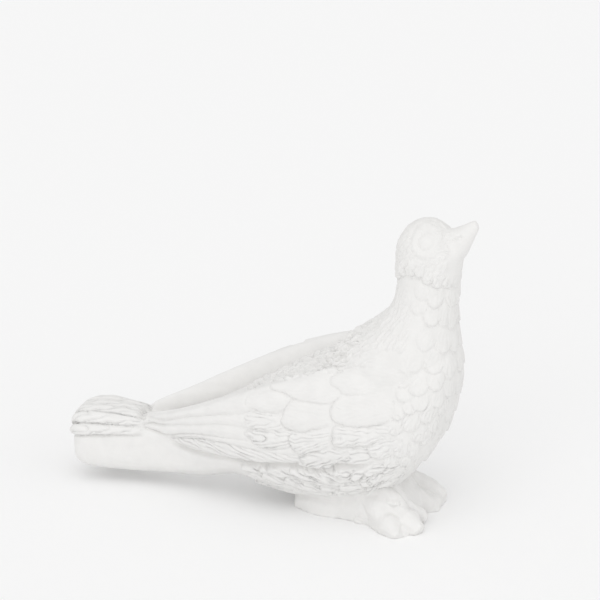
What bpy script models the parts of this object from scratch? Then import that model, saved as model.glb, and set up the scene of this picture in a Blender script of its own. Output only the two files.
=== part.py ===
"""A standing dove, cast in one piece: body, head, folded wings, fan tail and both feet.

The origin is on the ground under the middle of the feet. +X runs towards the beak,
+Y to the bird's left and +Z up. The figure is drawn on a grid of GRID_SQUARES squares
from tail end to beak tip, so its pose, its proportions and its carving are shares of
the overall length. Closed forms are shaped from balls, fused into one skin, and the
feathers are raised from that skin.
"""

import math

import bmesh
import bpy
import numpy as np
from mathutils import Vector
from mathutils.bvhtree import BVHTree

# Driving sizes in metres.
LENGTH = 0.2145
SKIN_GRAIN = 0.0014
SCALE_RISE = 0.0011
COVERT_RISE = 0.0018
QUILL_RISE = 0.0016
BELLY_RISE = 0.0014
TAIL_RISE = 0.002
LEFT_WING_LIFT = 0.0052
EYE_RISE = 0.0009

# The drawing grid.
GRID_SQUARES = 214.5
SQUARE = LENGTH / GRID_SQUARES

# The finish of the casting.
STONE_COLOR = (0.84, 0.83, 0.82, 1.0)
STONE_ROUGHNESS = 0.75

# How finely the forms and the finished skin are divided.
BALL_SEGMENTS = 32
BALL_RINGS = 40
SMOOTHING_STEPS = 5
MOST_TRIANGLES = 9600

# Every table below is in grid squares.
# Body: distance along X, underside, back, half width.
BODY = (
    (-122, 9, 32, 7),
    (-104, 6, 38.5, 11),
    (-88, 6.8, 45, 15),
    (-70, 11, 54, 19.5),
    (-52, 8.6, 64, 24.5),
    (-34, 5, 74, 28),
    (-14, 4.5, 85, 30.5),
    (4, 9, 92, 31.5),
    (20, 20.5, 96.5, 30.5),
    (32, 35, 97.5, 27),
    (39.5, 48, 97, 21.5),
    (44, 63, 95, 13),
    (46.2, 76, 88, 4),
)

# Back between the wings: distance along X, top, half width.
SADDLE = (
    (-104, 39, 6),
    (-92, 43.5, 9),
    (-76, 51, 13),
    (-58, 60.5, 17),
    (-40, 71, 21.5),
    (-22, 80.5, 24),
    (-8, 86.5, 25.5),
    (4, 90, 25),
    (14, 91, 19),
)
SADDLE_DEPTH = 26

# Neck and head: height, nape, throat, half width.
NECK_AND_HEAD = (
    (66, -22, 44, 26),
    (84, -17, 46, 27),
    (94, -8, 45.4, 25),
    (102, 2, 44.6, 22),
    (110, 10, 44, 19.4),
    (117, 13.6, 44.2, 17.6),
    (125, 14.2, 44.8, 16.6),
    (134, 13.6, 46.3, 16.2),
    (142, 13.6, 47.2, 15.6),
    (148, 15.4, 43.6, 14),
    (153.6, 19.4, 38.8, 10.2),
    (157.2, 25, 33, 4.5),
)

# Beak: lower edge X and Z, upper edge X and Z, half width.
BEAK = (
    (38, 131, 33, 153, 10),
    (48, 140, 40.5, 153.9, 7),
    (51.4, 147, 46.6, 156.6, 4.4),
    (53.9, 152.6, 50.8, 158.8, 2.7),
    (55.1, 156, 53.1, 159.8, 1.7),
)

# Wing: distance along X, lower edge Y and Z, ridge Y and Z, outward bow, half thickness.
WING = (
    (-119, 7, 30, 7, 38, 0.4, 2.4),
    (-110, 9.5, 28.5, 10.5, 41.5, 1, 3),
    (-98, 13, 27.5, 15, 46, 1.8, 4),
    (-82, 17.5, 26.5, 20, 53.5, 2.8, 5),
    (-62, 22.5, 27, 24.5, 63, 3.6, 6),
    (-42, 26.5, 29, 26.5, 71.5, 4.4, 6.6),
    (-22, 29, 33, 26, 79, 5, 7),
    (-4, 30.5, 37, 24.5, 83.5, 5, 7),
    (12, 29.5, 43, 22.5, 83, 4.4, 6.4),
    (24, 26, 54, 20, 80, 3, 5),
    (31, 22, 64, 18, 75, 1, 2.5),
)

# Tail: distance along X, underside, crest, half width.
TAIL = (
    (-66, 14, 40, 15),
    (-82, 10, 39, 14),
    (-98, 8, 36.5, 12.4),
    (-114, 6.4, 36, 12),
    (-126, 5.8, 37.4, 13.5),
    (-140, 6, 38.2, 16.5),
    (-149, 7, 37.2, 18.3),
    (-154.4, 9, 35.4, 16),
    (-156.8, 13, 32.4, 10),
)

# Low mass that the feet grow from: distance along X, height, half width.
FOOT_MASS = (
    (-37.2, 6.5, 8),
    (-35, 8.5, 12),
    (-23, 11, 17.8),
    (-8, 13, 18.6),
    (2, 16.5, 20.8),
    (10, 19, 22),
    (18, 17, 19.6),
    (24, 10, 14),
    (27, 5, 8),
)

# How far the low mass and the wedges run on below the ground before they are cut off level.
BELOW_GROUND = 8

# Rings of scales from the ruff down to the belly: centre X and Z, and forward tilt in degrees.
SCALE_PATH = ((29, 129, 19), (22, 103, 25), (16, 90, 36), (10, 78, 48), (4, 62, 70), (0, 50, 88))
SCALE_RINGS = 14
FULL_RINGS = 5
SCALE_SIZE = (13, 9)
SCALE_CROWN = 0.35

# Feathers on the back: rows along X, feathers across, and the length and width of one.
MANTLE_START = 8
MANTLE_ROWS = 12
MANTLE_STEP = 6
MANTLE_HALF_WIDTH = 20
MANTLE_SIZE = (10, 7.5)

# Rounded coverts of one wing: X and Z of the middle, length and width.
COVERTS = (
    (-42, 44, 32, 11),
    (-20, 46, 28, 13),
    (5, 52, 32, 11),
    (-24, 73, 40, 12),
    (7, 80, 34, 12),
    (-20, 59, 32, 17),
    (6, 66, 34, 18),
)

# Long quills of one wing: X and Z of the middle, length, width and rise per square towards the tip.
QUILLS = (
    (-84, 50, 70, 8, -0.40),
    (-82, 43.5, 70, 7, -0.22),
    (-76, 37.5, 76, 7, -0.10),
)

# Short quills along the lower edge of the wing, each behind and below the last.
EDGE_QUILLS = 6
EDGE_START = (10, 42)
EDGE_STEP = (-19, -2.4)
EDGE_SIZE = (30, 10)

# Two rows of flank feathers below the wing.
FLANK_FEATHERS = 6
FLANK_START = (14, 28)
FLANK_STEP = (-14, -0.6)
FLANK_ROW_STEP = (-7, -7)
FLANK_SIZE = (20, 9)

# Tail feathers fan out from a line inside the tail.
TAIL_FEATHERS = 9
TAIL_CORE = (-135, 0, 21)
TAIL_TURN = 21
TAIL_SPREAD = 0.11
TAIL_FEATHER_SIZE = (50, 9)
TAIL_CROWN = 0.85

# The eye: X and Z of its middle, and the radii of the button and of the ring round it.
EYE = (33.5, 150)
EYE_BUTTON = 3.6
EYE_RING = 6.2

# Feathers seen from the side are placed by rays that start this far from the middle plane.
FAR_OUT = 80

# Fullness of a section: 2 is an ellipse, more is squarer.
BODY_FULLNESS = 2.15
WING_FULLNESS = 2.3
TAIL_FULLNESS = 3.2
SADDLE_FULLNESS = 3.0
MASS_FULLNESS = 3.0
WEB_FULLNESS = 2.4
ROUND = 2.0

# The feet. A wedge that joins the toes: X, Y, top and half width.
# Its toes: X, Y and Z of each knuckle and its radius, from the leg to the claw.
RIGHT_WEB = (
    (5, 11.6, 15, 8),
    (11, 16.5, 13, 10.5),
    (16.5, 19, 10.5, 12),
    (21, 20.5, 7.8, 12.2),
    (25, 20.5, 5.6, 11.5),
    (28.5, 20, 3.4, 9),
)
RIGHT_OUTER_TOE = (
    (2, 11.5, 14, 7),
    (8, 16, 11, 6.8),
    (12.6, 20.8, 8.8, 6.9),
    (16.4, 25, 5.6, 5.1),
    (19.8, 28.2, 4.8, 5.3),
    (22.6, 31, 2.4, 3.4),
    (24.8, 32.9, 1, 2.2),
)
RIGHT_MIDDLE_TOE = (
    (4, 10, 19, 8),
    (12.5, 14.5, 14, 7.4),
    (18.5, 17.4, 10.8, 7),
    (23, 19.6, 7, 5.6),
    (27, 21.2, 5.6, 5.8),
    (31, 22.6, 3, 4.8),
    (34, 23.6, 1.4, 3.6),
)
RIGHT_INNER_TOE = (
    (8, 8, 19.4, 6),
    (16, 11.4, 15.4, 4.8),
    (22, 12.4, 10.6, 4.4),
    (26, 11.8, 7.2, 3.8),
    (29.6, 10.2, 4.4, 3.7),
    (32.4, 9, 1.8, 2.6),
)
LEFT_WEB = (
    (6, 12, 17, 12),
    (14, 14, 13.6, 13.4),
    (20, 15, 11, 14),
    (26, 15, 9, 13.4),
    (31, 14.4, 6.6, 11),
    (34, 14, 3.6, 8),
)
LEFT_OUTER_TOE = (
    (4, 13, 12, 7),
    (10, 18, 9.4, 6),
    (14.5, 22.5, 6.8, 5.4),
    (18, 26, 4.6, 4.8),
    (21, 28.6, 2.4, 3.4),
    (23, 30.4, 0.8, 2.2),
)
LEFT_MIDDLE_TOE = (
    (8, 13, 13, 7),
    (15, 17, 10.6, 6.4),
    (20, 19.6, 8, 5.6),
    (25, 20.6, 5.8, 5.6),
    (29.5, 20.4, 3.6, 4.8),
    (33, 20, 1.8, 3.6),
)
LEFT_INNER_TOE = (
    (14, 8, 10, 6),
    (20, 7.6, 7.2, 5.4),
    (26, 7.4, 4.4, 4.8),
    (31, 7.8, 2.4, 3.8),
)


def smooth_table(table, share):
    """Return the row of a table at a share of its height, read off a smooth curve."""
    last = len(table) - 1
    place = min(max(share, 0.0), 1.0) * last
    low = min(int(place), last - 1)
    step = place - low
    rows = [np.array(table[min(max(low + k, 0), last)], dtype=float) for k in (-1, 0, 1, 2)]
    slope_in = 0.5 * (rows[2] - rows[0])
    slope_out = 0.5 * (rows[3] - rows[1])
    chord = rows[2] - rows[1]
    bend = 3.0 * chord - 2.0 * slope_in - slope_out
    twist = slope_in + slope_out - 2.0 * chord
    return rows[1] + step * (slope_in + step * (bend + step * twist))


def squircle(angle, fullness):
    """Return the across and upward shares of a section with softly squared corners."""
    power = 2.0 / fullness
    across = math.copysign(abs(math.cos(angle)) ** power, math.cos(angle))
    upward = math.copysign(abs(math.sin(angle)) ** power, math.sin(angle))
    return across, upward


def shaped_ball(section):
    """Return a closed form made from a ball; section(share) gives centre, across, up, fullness."""
    form = bmesh.new()
    bmesh.ops.create_uvsphere(form, u_segments=BALL_SEGMENTS, v_segments=BALL_RINGS, radius=1.0)
    for vert in form.verts:
        ring = math.acos(min(max(vert.co.z, -1.0), 1.0)) / math.pi * BALL_RINGS
        centre, across, upward, fullness = section((ring - 1.0) / (BALL_RINGS - 2.0))
        if ring < 0.5 or ring > BALL_RINGS - 0.5:
            vert.co = centre * SQUARE
            continue
        out, rise = squircle(math.atan2(vert.co.y, vert.co.x), fullness)
        vert.co = (centre + across * out + upward * rise) * SQUARE
    bmesh.ops.recalc_face_normals(form, faces=form.faces)
    return form


def body_section(share):
    """Section of the body, upright across X."""
    x, low, high, half = smooth_table(BODY, share)
    centre = Vector((x, 0.0, 0.5 * (low + high)))
    return centre, Vector((0.0, half, 0.0)), Vector((0.0, 0.0, 0.5 * (high - low))), BODY_FULLNESS


def saddle_section(share):
    """Section of the back between the wings."""
    x, high, half = smooth_table(SADDLE, share)
    upward = Vector((0.0, 0.0, 0.5 * SADDLE_DEPTH))
    return Vector((x, 0.0, high)) - upward, Vector((0.0, half, 0.0)), upward, SADDLE_FULLNESS


def neck_section(share):
    """Level section of the neck and head."""
    z, back, front, half = smooth_table(NECK_AND_HEAD, share)
    centre = Vector((0.5 * (back + front), 0.0, z))
    return centre, Vector((0.0, half, 0.0)), Vector((0.5 * (front - back), 0.0, 0.0)), ROUND


def beak_section(share):
    """Section of the beak between its lower and upper edges."""
    low_x, low_z, high_x, high_z, half = smooth_table(BEAK, share)
    centre = Vector((0.5 * (low_x + high_x), 0.0, 0.5 * (low_z + high_z)))
    upward = Vector((0.5 * (high_x - low_x), 0.0, 0.5 * (high_z - low_z)))
    return centre, Vector((0.0, half, 0.0)), upward, ROUND


def wing_section(side):
    """Return the section function of the left (+1) or right (-1) wing."""
    highest = LEFT_WING_LIFT / SQUARE if side > 0 else 0.0

    def section(share):
        x, low_y, low_z, high_y, high_z, bow, half = smooth_table(WING, share)
        lift = highest * (0.45 + 0.55 * math.sin(math.pi * min(max(share, 0.0), 1.0)))
        low = Vector((x, side * low_y, low_z + lift))
        high = Vector((x, side * high_y, high_z + lift))
        span = high - low
        outward = Vector((0.0, span.z, -span.y)).normalized() * side
        return 0.5 * (low + high) + outward * (bow - half), outward * half, 0.5 * span, WING_FULLNESS

    return section


def tail_section(share):
    """Arched section of the fan tail."""
    x, low, high, half = smooth_table(TAIL, share)
    centre = Vector((x, 0.0, 0.5 * (low + high)))
    return centre, Vector((0.0, half, 0.0)), Vector((0.0, 0.0, 0.5 * (high - low))), TAIL_FULLNESS


def standing_section(x, y, high, half, fullness):
    """Upright section across X that runs on below the ground."""
    centre = Vector((x, y, 0.5 * (high - BELOW_GROUND)))
    upward = Vector((0.0, 0.0, 0.5 * (high + BELOW_GROUND)))
    return centre, Vector((0.0, half, 0.0)), upward, fullness


def mass_section(share):
    """Section of the low mass under the belly."""
    x, high, half = smooth_table(FOOT_MASS, share)
    return standing_section(x, 0.0, high, half, MASS_FULLNESS)


def web_section(web, side):
    """Return the section function of the wedge that joins the toes of one foot."""

    def section(share):
        x, y, high, half = smooth_table(web, share)
        return standing_section(x, side * y, high, half, WEB_FULLNESS)

    return section


def toe_section(knuckles, side):
    """Return the section function of one toe."""

    def section(share):
        x, y, z, radius = smooth_table(knuckles, share)
        ahead = smooth_table(knuckles, min(share + 0.05, 1.0)) - smooth_table(knuckles, share - 0.05)
        heading = Vector((ahead[0], side * ahead[1], ahead[2])).normalized()
        across = heading.cross(Vector((0.0, 0.0, 1.0))).normalized()
        return Vector((x, side * y, z)), across * radius, across.cross(heading) * radius, ROUND

    return section


def foot_forms(side):
    """Return the closed forms of the left (+1) or right (-1) foot."""
    web = LEFT_WEB if side > 0 else RIGHT_WEB
    toes = (RIGHT_OUTER_TOE, RIGHT_MIDDLE_TOE, RIGHT_INNER_TOE)
    if side > 0:
        toes = (LEFT_OUTER_TOE, LEFT_MIDDLE_TOE, LEFT_INNER_TOE)
    return [shaped_ball(web_section(web, side))] + [shaped_ball(toe_section(toe, side)) for toe in toes]


def all_forms():
    """Return every closed form of the figure."""
    trunk = (body_section, saddle_section, neck_section, beak_section, tail_section, mass_section)
    forms = [shaped_ball(section) for section in trunk]
    for side in (-1.0, 1.0):
        forms.append(shaped_ball(wing_section(side)))
        forms += foot_forms(side)
    return forms


def evaluated_mesh(thing):
    """Return a new mesh of an object as its modifiers leave it."""
    graph = bpy.context.evaluated_depsgraph_get()
    graph.update()
    return bpy.data.meshes.new_from_object(thing.evaluated_get(graph))


def fused_skin(collection):
    """Fuse the forms into one smooth closed skin and return its object."""
    whole = bpy.data.meshes.new("dove")
    gathered = bmesh.new()
    for form in all_forms():
        piece = bpy.data.meshes.new("form")
        form.to_mesh(piece)
        form.free()
        gathered.from_mesh(piece)
        bpy.data.meshes.remove(piece)
    gathered.to_mesh(whole)
    gathered.free()
    dove = bpy.data.objects.new("dove", whole)
    collection.objects.link(dove)
    remesh = dove.modifiers.new("Fuse", "REMESH")
    remesh.mode = "VOXEL"
    remesh.voxel_size = SKIN_GRAIN
    soften = dove.modifiers.new("Soften", "SMOOTH")
    soften.factor = 0.5
    soften.iterations = SMOOTHING_STEPS
    fused = evaluated_mesh(dove)
    dove.modifiers.clear()
    dove.data = fused
    bpy.data.meshes.remove(whole)
    fused.name = "dove"
    return dove


class Skin:
    """The bare skin: finds places on it and gathers the relief of the plumage."""

    def __init__(self, mesh):
        count = len(mesh.vertices)
        self.points = np.empty(count * 3)
        mesh.vertices.foreach_get("co", self.points)
        self.points = self.points.reshape(count, 3)
        self.normals = np.empty(count * 3)
        mesh.vertex_normals.foreach_get("vector", self.normals)
        self.normals = self.normals.reshape(count, 3)
        faces = [polygon.vertices[:] for polygon in mesh.polygons]
        self.tree = BVHTree.FromPolygons([vertex.co for vertex in mesh.vertices], faces)
        self.relief = np.zeros(count)

    def spot(self, start, direction):
        """Return the place and normal where a ray given in squares meets the skin."""
        place, normal, _, _ = self.tree.ray_cast(Vector(start) * SQUARE, Vector(direction).normalized())
        return place, normal

    def around(self, place, normal, reach):
        """Return a mask of the points near a place that face the same way."""
        near = np.linalg.norm(self.points - np.array(place), axis=1) < reach
        return near & (self.normals @ np.array(normal) > 0.2)

    def raise_feather(self, start, direction, heading, size, rise, crown=SCALE_CROWN):
        """Raise one feather whose middle lies where a ray meets the skin.

        start and size are in squares and rise is in metres. The feather is flush at
        its root, highest at its round tip, and overlaps those behind it. crown is the
        share of its height that it loses from its shaft to its edges.
        """
        place, normal = self.spot(start, direction)
        if place is None:
            return
        length, width = (side * SQUARE for side in size)
        along = Vector(heading)
        along = (along - normal * along.dot(normal)).normalized()
        across = normal.cross(along)
        near = self.around(place, normal, 0.6 * max(length, width) + SKIN_GRAIN)
        offset = self.points[near] - np.array(place)
        run = offset @ np.array(along) / length + 0.5
        aside = np.abs(offset @ np.array(across)) / (0.5 * width)
        tip = np.clip((run - 0.5) / 0.5, 0.0, 1.0)
        inside = (np.sqrt(1.0 - tip ** 2) - aside) * 0.5 * width
        edge = np.clip(inside / (0.6 * SKIN_GRAIN), 0.0, 1.0)
        height = rise * np.clip(0.1 + 0.9 * run, 0.0, 1.0) * edge * (run > 0.0)
        height *= 1.0 - crown * np.minimum(aside, 1.0) ** 2
        self.relief[near] = np.maximum(self.relief[near], height)


def raise_neck_scales(skin):
    """Rings of round scales over the neck, breast and belly; the lower rings are open at the back."""
    for ring in range(SCALE_RINGS):
        x, z, tilt = smooth_table(SCALE_PATH, ring / (SCALE_RINGS - 1))
        lean = math.radians(tilt)
        front = Vector((math.cos(lean), 0.0, -math.sin(lean)))
        heading = Vector((-math.sin(lean), 0.0, -math.cos(lean)))
        widest = math.pi if ring < FULL_RINGS else math.radians(105 - 4 * ring)
        count = 17 + ring // 2
        for column in range(count):
            turn = 2.0 * math.pi * (column + 0.5 * (ring % 2)) / count - math.pi
            if abs(turn) <= widest:
                outward = front * math.cos(turn) + Vector((0.0, math.sin(turn), 0.0))
                skin.raise_feather((x, 0, z), outward, heading, SCALE_SIZE, SCALE_RISE)


def raise_mantle(skin):
    """Small feathers on the back, between the ridges of the wings."""
    for row in range(MANTLE_ROWS):
        x = MANTLE_START - MANTLE_STEP * row
        for column in range(-3, 4):
            y = MANTLE_STEP * (column + 0.5 * (row % 2))
            if abs(y) < MANTLE_HALF_WIDTH:
                skin.raise_feather((x, y, FAR_OUT * 2), (0, 0, -1), (-1, 0, -0.45), MANTLE_SIZE, SCALE_RISE)


def raise_wing(skin, side):
    """Coverts and quills of one wing; the rows nearer the tail lie under the others."""
    inward = (0, -side, 0)
    for x, z, length, width in COVERTS:
        skin.raise_feather((x, side * FAR_OUT, z), inward, (-1, 0, -0.2), (length, width), COVERT_RISE)
    for x, z, length, width, slope in QUILLS:
        skin.raise_feather((x, side * FAR_OUT, z), inward, (-1, 0, slope), (length, width), QUILL_RISE)
    for step in range(EDGE_QUILLS):
        x = EDGE_START[0] + EDGE_STEP[0] * step
        z = EDGE_START[1] + EDGE_STEP[1] * step
        skin.raise_feather((x, side * FAR_OUT, z), inward, (-1, 0, -0.16), EDGE_SIZE, QUILL_RISE)


def raise_flank(skin, side):
    """Long feathers on the flank below the wing."""
    for row in range(2):
        for step in range(FLANK_FEATHERS):
            x = FLANK_START[0] + FLANK_STEP[0] * step + FLANK_ROW_STEP[0] * row
            z = FLANK_START[1] + FLANK_STEP[1] * step + FLANK_ROW_STEP[1] * row
            start = (x, side * FAR_OUT, z)
            skin.raise_feather(start, (0, -side, 0), (-1, 0, -0.15), FLANK_SIZE, BELLY_RISE)


def raise_tail(skin):
    """Fan of long feathers over the arch of the tail."""
    for feather in range(TAIL_FEATHERS):
        step = feather - 0.5 * (TAIL_FEATHERS - 1)
        turn = math.radians(TAIL_TURN * step)
        outward = Vector((0.0, math.sin(turn), math.cos(turn)))
        heading = Vector((-1.0, TAIL_SPREAD * step, 0.0))
        skin.raise_feather(TAIL_CORE, outward, heading, TAIL_FEATHER_SIZE, TAIL_RISE, TAIL_CROWN)


def raise_eye(skin, side):
    """A round button inside a low ring."""
    place, normal = skin.spot((EYE[0], side * FAR_OUT, EYE[1]), (0, -side, 0))
    near = skin.around(place, normal, 2.0 * EYE_RING * SQUARE)
    away = np.linalg.norm(skin.points[near] - np.array(place), axis=1) / SQUARE
    button = np.clip(1.0 - (away / EYE_BUTTON) ** 2, 0.0, 1.0)
    ring = np.clip(1.0 - ((away - EYE_RING) / (0.4 * EYE_RING)) ** 2, 0.0, 1.0)
    skin.relief[near] = np.maximum(skin.relief[near], EYE_RISE * np.maximum(button, 0.7 * ring))


def flat_underside(mesh):
    """Cut the mesh off level with the ground and close it."""
    shell = bmesh.new()
    shell.from_mesh(mesh)
    everything = shell.verts[:] + shell.edges[:] + shell.faces[:]
    ground = {"plane_co": (0.0, 0.0, 0.0), "plane_no": (0.0, 0.0, -1.0)}
    bmesh.ops.bisect_plane(shell, geom=everything, dist=1e-6, clear_outer=True, **ground)
    rim = [edge for edge in shell.edges if edge.is_boundary]
    bmesh.ops.contextual_create(shell, geom=rim)
    bmesh.ops.triangulate(shell, faces=shell.faces[:])
    bmesh.ops.recalc_face_normals(shell, faces=shell.faces)
    shell.to_mesh(mesh)
    shell.free()


def carve(dove):
    """Raise the plumage from the skin, thin it out and level the underside."""
    mesh = dove.data
    skin = Skin(mesh)
    raise_neck_scales(skin)
    raise_mantle(skin)
    for side in (-1.0, 1.0):
        raise_wing(skin, side)
        raise_flank(skin, side)
        raise_eye(skin, side)
    raise_tail(skin)
    carved = skin.points + skin.normals * skin.relief[:, None]
    mesh.vertices.foreach_set("co", carved.ravel())
    mesh.update()
    thin = dove.modifiers.new("Thin out", "DECIMATE")
    thin.ratio = min(1.0, MOST_TRIANGLES / (2.0 * len(mesh.polygons)))
    thinned = evaluated_mesh(dove)
    dove.modifiers.clear()
    dove.data = thinned
    bpy.data.meshes.remove(mesh)
    flat_underside(thinned)
    thinned.name = "dove"


def stone_material():
    """Return the matt white material of the casting."""
    material = bpy.data.materials.new("white_cast_stone")
    material.use_nodes = True
    shader = material.node_tree.nodes["Principled BSDF"]
    shader.inputs["Base Color"].default_value = STONE_COLOR
    shader.inputs["Roughness"].default_value = STONE_ROUGHNESS
    shader.inputs["Metallic"].default_value = 0.0
    return material


def main():
    """Clear the file and build the dove."""
    for old in list(bpy.data.objects):
        bpy.data.objects.remove(old, do_unlink=True)
    collection = bpy.data.collections.new("dove statue")
    bpy.context.scene.collection.children.link(collection)
    dove = fused_skin(collection)
    carve(dove)
    dove.data.shade_smooth()
    dove.data.materials.clear()
    dove.data.materials.append(stone_material())


main()
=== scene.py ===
"""A standing dove in white cast stone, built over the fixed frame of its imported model.

The figure is drawn in millimetres: +X runs towards the beak, +Y to the bird's left and
+Z up, with the origin on the ground under the feet. Balls are shaped into the main
forms, fused into one skin, and the plumage is carved into that skin feather by feather.
"""

import logging
import math
from dataclasses import dataclass
from enum import Enum
from typing import Iterator

import bmesh
import bpy
import numpy as np
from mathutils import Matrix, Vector
from mathutils.bvhtree import BVHTree
from mathutils.kdtree import KDTree


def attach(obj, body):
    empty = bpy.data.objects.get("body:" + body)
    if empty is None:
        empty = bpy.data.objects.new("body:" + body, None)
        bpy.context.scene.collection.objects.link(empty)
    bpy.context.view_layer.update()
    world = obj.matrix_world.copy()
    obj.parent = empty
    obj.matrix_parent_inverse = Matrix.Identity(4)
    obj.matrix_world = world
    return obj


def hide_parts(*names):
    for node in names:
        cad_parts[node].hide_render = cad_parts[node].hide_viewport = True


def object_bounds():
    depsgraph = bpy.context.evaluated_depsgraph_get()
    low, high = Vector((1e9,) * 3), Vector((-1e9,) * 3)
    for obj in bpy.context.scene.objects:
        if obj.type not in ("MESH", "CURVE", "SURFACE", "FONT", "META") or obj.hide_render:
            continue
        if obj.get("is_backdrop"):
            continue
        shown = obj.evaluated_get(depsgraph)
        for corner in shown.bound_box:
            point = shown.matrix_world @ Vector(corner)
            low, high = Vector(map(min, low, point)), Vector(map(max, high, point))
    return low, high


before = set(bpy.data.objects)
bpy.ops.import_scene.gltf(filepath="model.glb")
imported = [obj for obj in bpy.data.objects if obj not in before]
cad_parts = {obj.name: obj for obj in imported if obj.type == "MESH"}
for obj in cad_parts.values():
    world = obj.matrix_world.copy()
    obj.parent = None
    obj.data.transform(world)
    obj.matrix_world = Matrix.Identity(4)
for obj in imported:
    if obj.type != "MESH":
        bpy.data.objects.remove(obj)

MM = 0.001
FAR_OUT = 90.0
UP = Vector((0.0, 0.0, 1.0))
LOG = logging.getLogger("dove")

# The folded wings: where their tips lie, how long they are, how much higher the left one
# is carried, and the share of that lift that is left at its ends.
WING_TIP = -119.0
WING_LENGTH = 150.0
LEFT_LIFT = 5.2
LIFT_AT_ENDS = 0.45

# How a barb rises between its cuts: 1 is a plain wave, less is flatter on top.
BARB_CROWN = 0.7

Point = tuple[float, float]
Row = tuple[float, ...]


class Side(Enum):
    """The two sides of the bird, as the sign of their Y."""

    RIGHT = -1
    LEFT = 1


class Barbs(Enum):
    """How boldly the barbs of a feather are cut: spacing and depth in mm, slant in degrees."""

    NONE = (1.0, 0.0, 30.0)
    FAINT = (1.9, 0.14, 11.0)
    SCALED = (1.8, 0.32, 9.0)
    FINE = (1.9, 0.55, 9.0)
    BOLD = (1.9, 0.8, 9.0)
    COARSE = (2.2, 0.9, 17.0)
    COMBED = (2.0, 0.85, 8.0)

    @property
    def spacing(self) -> float:
        """Distance between barbs in mm."""
        return self.value[0]

    @property
    def depth(self) -> float:
        """Depth of the cut between barbs in mm."""
        return self.value[1]

    @property
    def slant(self) -> float:
        """Angle between the shaft and a barb in radians."""
        return math.radians(self.value[2])

    def phase(self, along: np.ndarray, aside: np.ndarray, seed: int) -> np.ndarray:
        """Return how many barbs lie between each place and the root.

        Args:
            along: Distance along the shaft in mm.
            aside: Distance to one side of the shaft in mm.
            seed: Chooses how the barbs wander.

        Returns:
            One count for each place, whole numbers in the cuts.
        """
        shaft_radius = 1.0
        slanted = along * math.sin(self.slant) - np.hypot(aside, shaft_radius) * math.cos(self.slant)
        wander = 0.3 * waver(along, aside, 8.0, seed)
        return slanted / self.spacing + wander

    def depths(self, along: np.ndarray, aside: np.ndarray, seed: int) -> np.ndarray:
        """Return how deep the cuts are at each place in mm, fading here and there."""
        fading = 0.85 + 0.4 * waver(along, aside, 6.0, seed + 1)
        return self.depth * np.clip(fading, 0.4, 1.2)


def soft_step(value: np.ndarray) -> np.ndarray:
    """Ease a value from 0 to 1."""
    held = np.clip(value, 0.0, 1.0)
    return held * held * (3.0 - 2.0 * held)


def barb_groove(phase: np.ndarray) -> np.ndarray:
    """Return the shape of the cuts between barbs: 1 in a cut, 0 on a barb."""
    return 1.0 - np.abs(np.sin(math.pi * phase)) ** BARB_CROWN


def along_shaft(u: np.ndarray, v: np.ndarray, root: Point, tip: Point) -> tuple[np.ndarray, np.ndarray]:
    """Return how far along a shaft from its root each place lies, and how far aside, in mm.

    Args:
        u: First coordinate of each place in mm.
        v: Second coordinate of each place in mm.
        root: Where the shaft starts.
        tip: Where the shaft ends.

    Returns:
        Two values for each place: along and aside.
    """
    du, dv = tip[0] - root[0], tip[1] - root[1]
    length = math.hypot(du, dv)
    u = u - root[0]
    v = v - root[1]
    return (u * du + v * dv) / length, (v * du - u * dv) / length


def waver(u: np.ndarray, v: np.ndarray, size: float, seed: int) -> np.ndarray:
    """Return a smooth wandering value between about -1 and 1.

    Args:
        u: First coordinate in mm.
        v: Second coordinate in mm.
        size: Typical width of a swell in mm.
        seed: Chooses one of many patterns.

    Returns:
        One value for each place.
    """
    dice = np.random.default_rng(seed)
    total = np.zeros_like(u)
    for _ in range(6):
        turn = dice.uniform(0.0, 2.0 * math.pi)
        rate = dice.uniform(0.6, 1.5) / size
        phase = dice.uniform(0.0, 2.0 * math.pi)
        total += np.sin(2.0 * math.pi * rate * (u * math.cos(turn) + v * math.sin(turn)) + phase)
    return total / 3.0


@dataclass(frozen=True)
class Section:
    """One section of a form: its middle, two half axes and how square its corners are."""

    centre: Vector
    across: Vector
    upward: Vector
    fullness: float = 2.0

    def rim(self, angle: float) -> Vector:
        """Return the place on the rim at an angle from the across axis.

        Args:
            angle: Angle from the across axis in radians.

        Returns:
            A place in mm.
        """
        power = 2.0 / self.fullness
        side = math.copysign(abs(math.cos(angle)) ** power, math.cos(angle))
        rise = math.copysign(abs(math.sin(angle)) ** power, math.sin(angle))
        return self.centre + self.across * side + self.upward * rise


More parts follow.
